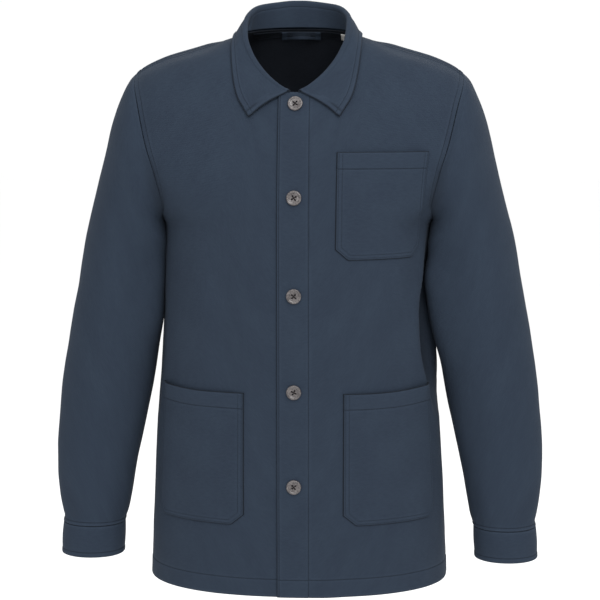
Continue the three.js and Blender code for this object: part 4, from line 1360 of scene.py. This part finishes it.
# near and far are the distances of the two sides from the front centre, each at the top and the bottom
pockets = {
    "pocketChest": {
        "node": "pocket_chest", "side": 1, "top": 154, "bottom": 297,
        "near": (56, 54), "far": (178, 163), "rise": 0, "gape": 0.8,
    },
    "pocketLowerLeft": {
        "node": "pocket_lower_left", "side": 1, "top": 477, "bottom": 660,
        "near": (66, 66), "far": (181.5, 189.5), "rise": 4, "gape": 1.5,
    },
    "pocketLowerRight": {
        "node": "pocket_lower_right", "side": -1, "top": 477, "bottom": 660,
        "near": (68, 68), "far": (181.5, 190), "rise": 3, "gape": 1.5,
    },
}


def pocketPoint(spec, across, down):
    height = spec["bottom"] - spec["top"]
    drop = spec["top"] + down * height
    near = angleOf(mix(spec["near"][0], spec["near"][1], down), drop)
    far = angleOf(mix(spec["far"][0], spec["far"][1], down), drop)
    drop = drop - spec["rise"] * smooth(0.4, 1.05, across) * np.clip(1 - down * 2.4, 0, 1) ** 1.5
    return frontPoint(spec["side"], mix(near, far, across), drop)


def makePocket(name, spec):
    plan = pocketPlan
    height = spec["bottom"] - spec["top"]
    fine = np.linspace(0, 1, 60)
    crossing = pocketPoint(spec, fine, np.full(len(fine), 0.5))[0]
    girth = np.linalg.norm(np.diff(crossing, axis=0), axis=1).sum()
    sides = np.array(roundedEdge(plan["edgeLine"], plan["secondLine"]))
    middle = np.linspace(sides[-1], girth - sides[-1], plan["cells"])[1:-1]
    x = np.concatenate([sides, middle, (girth - sides)[::-1]])
    cut = np.maximum(0, plan["corner"] - np.minimum(x, girth - x))
    tops = np.array(roundedEdge(plan["hemLine"]))
    middle = np.linspace(tops[-1], height - sides[-1], plan["rowCells"])[1:-1]
    rows = np.concatenate([tops, middle, height - sides[::-1]])
    down = rows[:, None] * (1 - cut[None, :] / height * smooth(0.6, 1, rows / height)[:, None])
    across = np.broadcast_to(x[None, :], down.shape)
    base, normal = pocketPoint(spec, across / girth, down / height)
    cloth = clothOf(base, 1)
    cloth["normals"] = normal
    side = np.minimum(across, girth - across)
    corner = (side + (height - down) - plan["corner"]) / math.sqrt(2)
    sewn = np.minimum(np.minimum(side, height - down), np.maximum(corner, 0))
    # the middle is slightly full, and the mouth stands off, most towards the side seam
    full = 0.9 * np.clip(sewn / 30, 0, 1) * (0.6 + 0.5 * softNoise(across, down, 40, 61))
    gape = 1.0 + spec["gape"] * smooth(0.5, 0.9, across / girth)
    stand = plan["mouthStand"] * smooth(26, 0, down) * smooth(2, 20, side) * gape
    cloth["lift"] = plan["lift"] + plan["wall"] + full + stand
    # painted shade along the pocket's edges
    turnEdge(cloth, np.minimum(sewn, down), 1.5, 0.95)
    along = across + down
    sinkStitches(cloth, sewn, plan["edgeLine"], along, 62, mask=0.6, ridge=False, pucker=0.6)
    sinkStitches(cloth, sewn, plan["secondLine"], along, 63, mask=0.45, ridge=False, pucker=0.9)
    sinkStitches(cloth, down, plan["hemLine"], across, 64, pucker=0.9)
    shape(cloth)
    piece = makeShell(name, cloth, plan["wall"], twill, twillInsideShaded)
    dress(piece, "cloth", spec["node"])
    for inset in (plan["edgeLine"], plan["secondLine"]):
        sew("pocket", pocketOutline(cloth, x, down, girth, height, inset))
    rowIndex = np.interp(plan["hemLine"], rows, np.arange(len(rows)))
    columns = np.arange(2, len(x) - 2).astype(float)
    sew("pocket", sample(cloth, np.full(len(columns), rowIndex), columns))
    return piece, girth, height


def pocketOutline(cloth, x, down, girth, height, inset):
    reach = pocketPlan["corner"] + (math.sqrt(2) - 1) * inset
    corners = [(inset, 0.5), (inset, height - reach), (reach, height - inset),
               (girth - reach, height - inset), (girth - inset, height - reach), (girth - inset, 0.5)]
    placesX, placesY = [], []
    for (ax, ay), (bx, by) in zip(corners[:-1], corners[1:]):
        share = np.linspace(0, 1, max(2, int(math.hypot(bx - ax, by - ay) / 2.5)))
        placesX.append(mix(ax, bx, share))
        placesY.append(mix(ay, by, share))
    placesX, placesY = np.concatenate(placesX), np.concatenate(placesY)
    columnAt = np.interp(placesX, x, np.arange(len(x)))
    rowAt = []
    for column, y in zip(columnAt, placesY):
        j = min(int(column), len(x) - 2)
        line = mix(down[:, j], down[:, j + 1], column - j)
        rowAt.append(np.interp(y, line, np.arange(len(line))))
    return sample(cloth, np.array(rowAt), columnAt)


for name, spec in pockets.items():
    pocket, girth, height = makePocket(name, spec)
print("pockets made")

# Strips inside the back neck
# a dark navy tape whose colour is also darkened as painted shade inside the back neck
tapePlan = {"hex": "#12161c", "ribMm": 1.1, "roughness": 0.8}
tagPlan = {"hex": "#efeeea", "ribMm": 0.6, "roughness": 0.55}


def tapeMaterial(name, plan):
    # cotton herringbone tape: close ribs that change direction
    material, tree = newMaterial(name)
    laid = addNode(tree, "Attribute", attribute_name="clothMm")
    parts = addNode(tree, "SeparateXYZ", links={"Vector": laid.outputs["Vector"]})
    zigzag = addNode(tree, "Math", {1: 2.0}, {0: parts.outputs["Y"]}, operation="PINGPONG")
    lean = addNode(tree, "Math", links={0: parts.outputs["X"], 1: zigzag.outputs[0]}, operation="ADD")
    turn = addNode(tree, "Math", {1: 2 * math.pi / plan["ribMm"]}, {0: lean.outputs[0]}, operation="MULTIPLY")
    rib = addNode(tree, "Math", links={0: turn.outputs[0]}, operation="SINE")
    share = addNode(tree, "MapRange", {"From Min": -1, "From Max": 1, "To Min": 0.7, "To Max": 1.2},
                    {"Value": rib.outputs[0]})
    shade = addNode(tree, "Mix", {"Factor": 1.0, "A": linear(plan["hex"])}, {"B": share.outputs[0]},
                    data_type="RGBA", blend_type="MULTIPLY")
    bump = addNode(tree, "Bump", {"Strength": 0.4, "Distance": 0.15 * mm}, {"Height": rib.outputs[0]})
    tape = addNode(
        tree, "BsdfPrincipled", {"Roughness": plan["roughness"], "IOR": 1.5, "Specular IOR Level": 0.1},
        {"Base Color": shade.outputs["Result"], "Normal": bump.outputs[0]})
    finishMaterial(tree, tape)
    return material


tapeCotton = tapeMaterial("cottonTape", tapePlan)
# woven polyester satin, bare, a little glossy
tagSatin = tapeMaterial("polyesterSatin", tagPlan)
# from and to are degrees round the neck from the back centre
neckStrips = {
    "neckTape": {
        "node": "neck_tape", "from": -62, "to": 62, "top": 0.5, "width": 9, "gap": 1.6, "wall": 0.8,
        "bow": 0, "hang": 0,
    },
    "hangingLoop": {
        "node": "hanging_loop", "from": -22, "to": 22, "top": 0.8, "width": 11, "gap": 3.0, "wall": 1.4,
        "bow": 11, "hang": 0.6,
    },
    "neckTag": {
        "node": "neck_tag", "from": 51, "to": 59, "top": 0.5, "width": 9, "gap": 3.2, "wall": 0.5,
        "bow": 0, "hang": 0,
    },
}


def makeStrip(name, spec):
    width = spec["width"]
    count = int((spec["to"] - spec["from"]) * 1.5)
    share = np.linspace(0, 1, max(12, count))[None, :]
    downs = np.array(fillGaps([0, 0.5, 1.1, width - 1.1, width - 0.5, width], 1.2))[:, None]
    turn = np.radians(mix(spec["from"], spec["to"], share))
    reach = np.abs(turn)
    drop = neckDropAt(1, reach) + spec["top"] + downs
    x = bodyPlan["neckHalfWidth"] * np.sin(reach)
    point, normal = torsoAt(1, np.where(turn < 0, -1.0, 1.0) * angleOf(x, drop), drop)
    point[..., 1] -= spec["bow"] * np.sin(math.pi * share) ** 2 * (1 + spec["hang"] * downs / width)
    point = point - normal * (bodyPlan["cloth"] + spec["gap"])
    cloth = clothOf(point, 1)
    cloth["normals"] = -normal
    edge = np.minimum(cloth["fromTop"], cloth["toBottom"])
    cloth["lift"] = -0.35 * bell(edge, 0.6)
    if name == "hangingLoop":
        # the strip is folded along its length and tacked flat at both ends
        free = smooth(0.12, 0.17, share) * smooth(0.88, 0.83, share)
        slot = bell(downs - 0.58 * width, 0.9) * free
        cloth["lift"] = cloth["lift"] - 1.1 * slot
        bar = smooth(0.62 * width, 0.75 * width, downs)
        # painted shade: the whole loop is darker, most in its slot and free middle, least on the lower bar
        cloth["shade"] = np.maximum(0.95 * slot, 0.2 + 0.35 * free - 0.2 * bar)
    shape(cloth)
    cloth["points"] = cloth["points"] + cloth["normals"] * spec["wall"]
    material = {"neckTag": tagSatin, "neckTape": tapeCotton, "hangingLoop": twill}[name]
    piece = makeShell(name, cloth, spec["wall"], material, material)
    dress(piece, "tag" if name == "neckTag" else "tape", spec["node"])
    if name == "neckTape":
        for fromEnd in (False, True):
            sew("tape", lineAcrossPanel(cloth, 1.2, fromEnd))
    if name == "hangingLoop":
        for inset, fromEnd in ((2, False), (2, True), (5, False), (5, True)):
            sew("tape", lineDownPanel(cloth, inset, fromEnd))
    return piece, cloth


for name, spec in neckStrips.items():
    strip, stripCloth = makeStrip(name, spec)
    size = (stripCloth["across"][:, -1].mean(), stripCloth["down"][-1].mean())
    size = tuple(max(0.0101, float(side) * mm) for side in size)
print("neck strips made")

# Horn buttons, turned with a rim and a sunk middle, sewn on through four holes
buttonPlan = {
    "drops": (92, 214, 344, 474, 604),
    "radius": 10,
    "height": 3.2,
    "well": 1.1,
    "hole": 1.15,
    "pitch": 2.05,
    "sides": 56,
    "bandMm": 4.5,
    "hexes": ("#241f20", "#3f3a3a", "#5d5857"),
    "spins": (0.12, -0.2, 0.05, 0.3, -0.1),
}
crossPlan = {"radius": 0.24, "sides": 6, "steps": 12, "strands": (-0.42, 0, 0.42)}


def hornMaterial(plan):
    # polished corozo or horn: cloudy grey-brown bands with a soft gloss
    material, tree = newMaterial("turnedHorn")
    place = addNode(tree, "TexCoord")
    bands = addNode(
        tree, "TexNoise",
        {"Scale": 1 / (plan["bandMm"] * mm), "Detail": 4.0, "Roughness": 0.6, "Distortion": 1.6},
        {"Vector": place.outputs["Object"]})
    ramp = addNode(tree, "ValToRGB", links={"Fac": bands.outputs[0]})
    darkest, middle, palest = (linear(hexColour) for hexColour in plan["hexes"])
    for element, position, colour in zip(ramp.color_ramp.elements, (0.34, 0.66), (darkest, palest)):
        element.position = position
        element.color = colour
    ramp.color_ramp.elements.new(0.5).color = middle
    bump = addNode(tree, "Bump", {"Strength": 0.15, "Distance": 0.1 * mm}, {"Height": bands.outputs[0]})
    horn = addNode(
        tree, "BsdfPrincipled", {"Roughness": 0.34, "IOR": 1.54, "Coat Weight": 0.2, "Coat Roughness": 0.25},
        {"Base Color": ramp.outputs["Color"], "Normal": bump.outputs[0]})
    finishMaterial(tree, horn)
    return material


def latheMesh(name, profile, segments):
    angles = np.arange(segments) * 2 * math.pi / segments
    rings = [[(r * math.cos(a), -h, r * math.sin(a)) for a in angles] for r, h in profile[1:-1]]
    vertices = [(0, -profile[0][1], 0)] + [p for ring in rings for p in ring] + [(0, -profile[-1][1], 0)]
    faces = []
    last = len(rings) - 1
    for k in range(segments):
        following = (k + 1) % segments
        faces.append((0, 1 + following, 1 + k))
        for i in range(last):
            a, b = 1 + i * segments, 1 + (i + 1) * segments
            faces.append((a + k, a + following, b + following, b + k))
        faces.append((1 + last * segments + k, 1 + last * segments + following, len(vertices) - 1))
    mesh = bpy.data.meshes.new(name)
    mesh.from_pydata(vertices, [], faces)
    return mesh


def buttonMesh(plan):
    r, h, w = plan["radius"], plan["height"], plan["well"]
    profile = [(0, 0), (r - 1.6, 0), (r - 0.7, 0.35), (r, 1.3), (r, 1.9), (r - 0.25, h - 0.5),
               (r - 0.8, h - 0.1), (r - 1.5, h), (r - 2.3, h - 0.15), (r - 3.1, h - w + 0.2),
               (r - 3.8, h - w), (3.4, h - w), (0, h - w)]
    blank = addObject("buttonBlank", latheMesh("buttonBlank", profile, plan["sides"]))
    cutters = []
    for sideX in (-1, 1):
        for sideZ in (-1, 1):
            drill = [(0, -1), (plan["hole"], -1), (plan["hole"], h + 1), (0, h + 1)]
            cutter = addObject("hole", latheMesh("hole", drill, 20))
            cutter.location = (sideX * plan["pitch"], 0, sideZ * plan["pitch"])
            cutters.append(cutter)
            cut = blank.modifiers.new("hole", "BOOLEAN")
            cut.object = cutter
            cut.solver = "EXACT"
    bpy.context.view_layer.update()
    made = bpy.data.meshes.new_from_object(blank.evaluated_get(bpy.context.evaluated_depsgraph_get()))
    for thing in [blank] + cutters:
        bpy.data.objects.remove(thing)
    return made


def threadCross(plan, thread):
    vertices, faces = [], []
    top = plan["height"] - plan["well"]
    sides, steps, radius = thread["sides"], thread["steps"], thread["radius"]
    for diagonal in (1, -1):
        for strand in thread["strands"]:
            lineStart = len(vertices)
            for t in np.linspace(0, 1, steps + 1):
                s = (t - 0.5) * 2 * plan["pitch"]
                rise = top - 1.4 + 2.2 * (1 - abs(2 * t - 1) ** 5) + (0.25 if diagonal > 0 else 0)
                off = strand / math.sqrt(2)
                x, z = s - off * diagonal, s * diagonal + off
                for a in range(sides):
                    angle = 2 * math.pi * a / sides
                    side = radius * math.cos(angle) / math.sqrt(2)
                    vertices.append((x - side * diagonal, -(rise + radius * math.sin(angle)), z + side))
            for i in range(steps):
                low, high = lineStart + i * sides, lineStart + (i + 1) * sides
                for a in range(sides):
                    b = (a + 1) % sides
                    faces.append((low + a, low + b, high + b, high + a))
            faces.append(tuple(lineStart + a for a in reversed(range(sides))))
            faces.append(tuple(lineStart + steps * sides + a for a in range(sides)))
    return vertices, faces


def placeMesh(name, vertices, faces, material, place, normal, spin):
    turn = Vector((0, -1, 0)).rotation_difference(Vector(normal))
    cosine, sine = math.cos(spin), math.sin(spin)
    moved = []
    for x, y, z in vertices:
        spun = Vector((x * cosine - z * sine, y, x * sine + z * cosine))
        moved.append(tuple((turn @ spun + Vector(place)) * mm))
    return addPiece(name, moved, faces, material)


turnedHorn = hornMaterial(buttonPlan)
blankMesh = buttonMesh(buttonPlan)
blankVertices = [tuple(v.co) for v in blankMesh.vertices]
blankFaces = [tuple(p.vertices) for p in blankMesh.polygons]
crossVertices, crossFaces = threadCross(buttonPlan, crossPlan)
for k, (drop, spin) in enumerate(zip(buttonPlan["drops"], buttonPlan["spins"]), 1):
    point, normal = frontPoint(1, np.array([0.0]), np.array([float(drop)]))
    place, normal = point[0] + normal[0] * 0.7, normal[0]
    button = placeMesh(f"button{k}", blankVertices, blankFaces, turnedHorn, place, normal, spin)
    dress(button, "button", f"button_{k}")
    cross = placeMesh(f"buttonThread{k}", crossVertices, crossFaces, buttonThread, place, normal, spin)
    dress(cross, "button")
print("buttons made")

for name, lines in seams.items():
    makeStitches("topstitch" + name.capitalize(), lines, seamThread)
print("topstitching made")
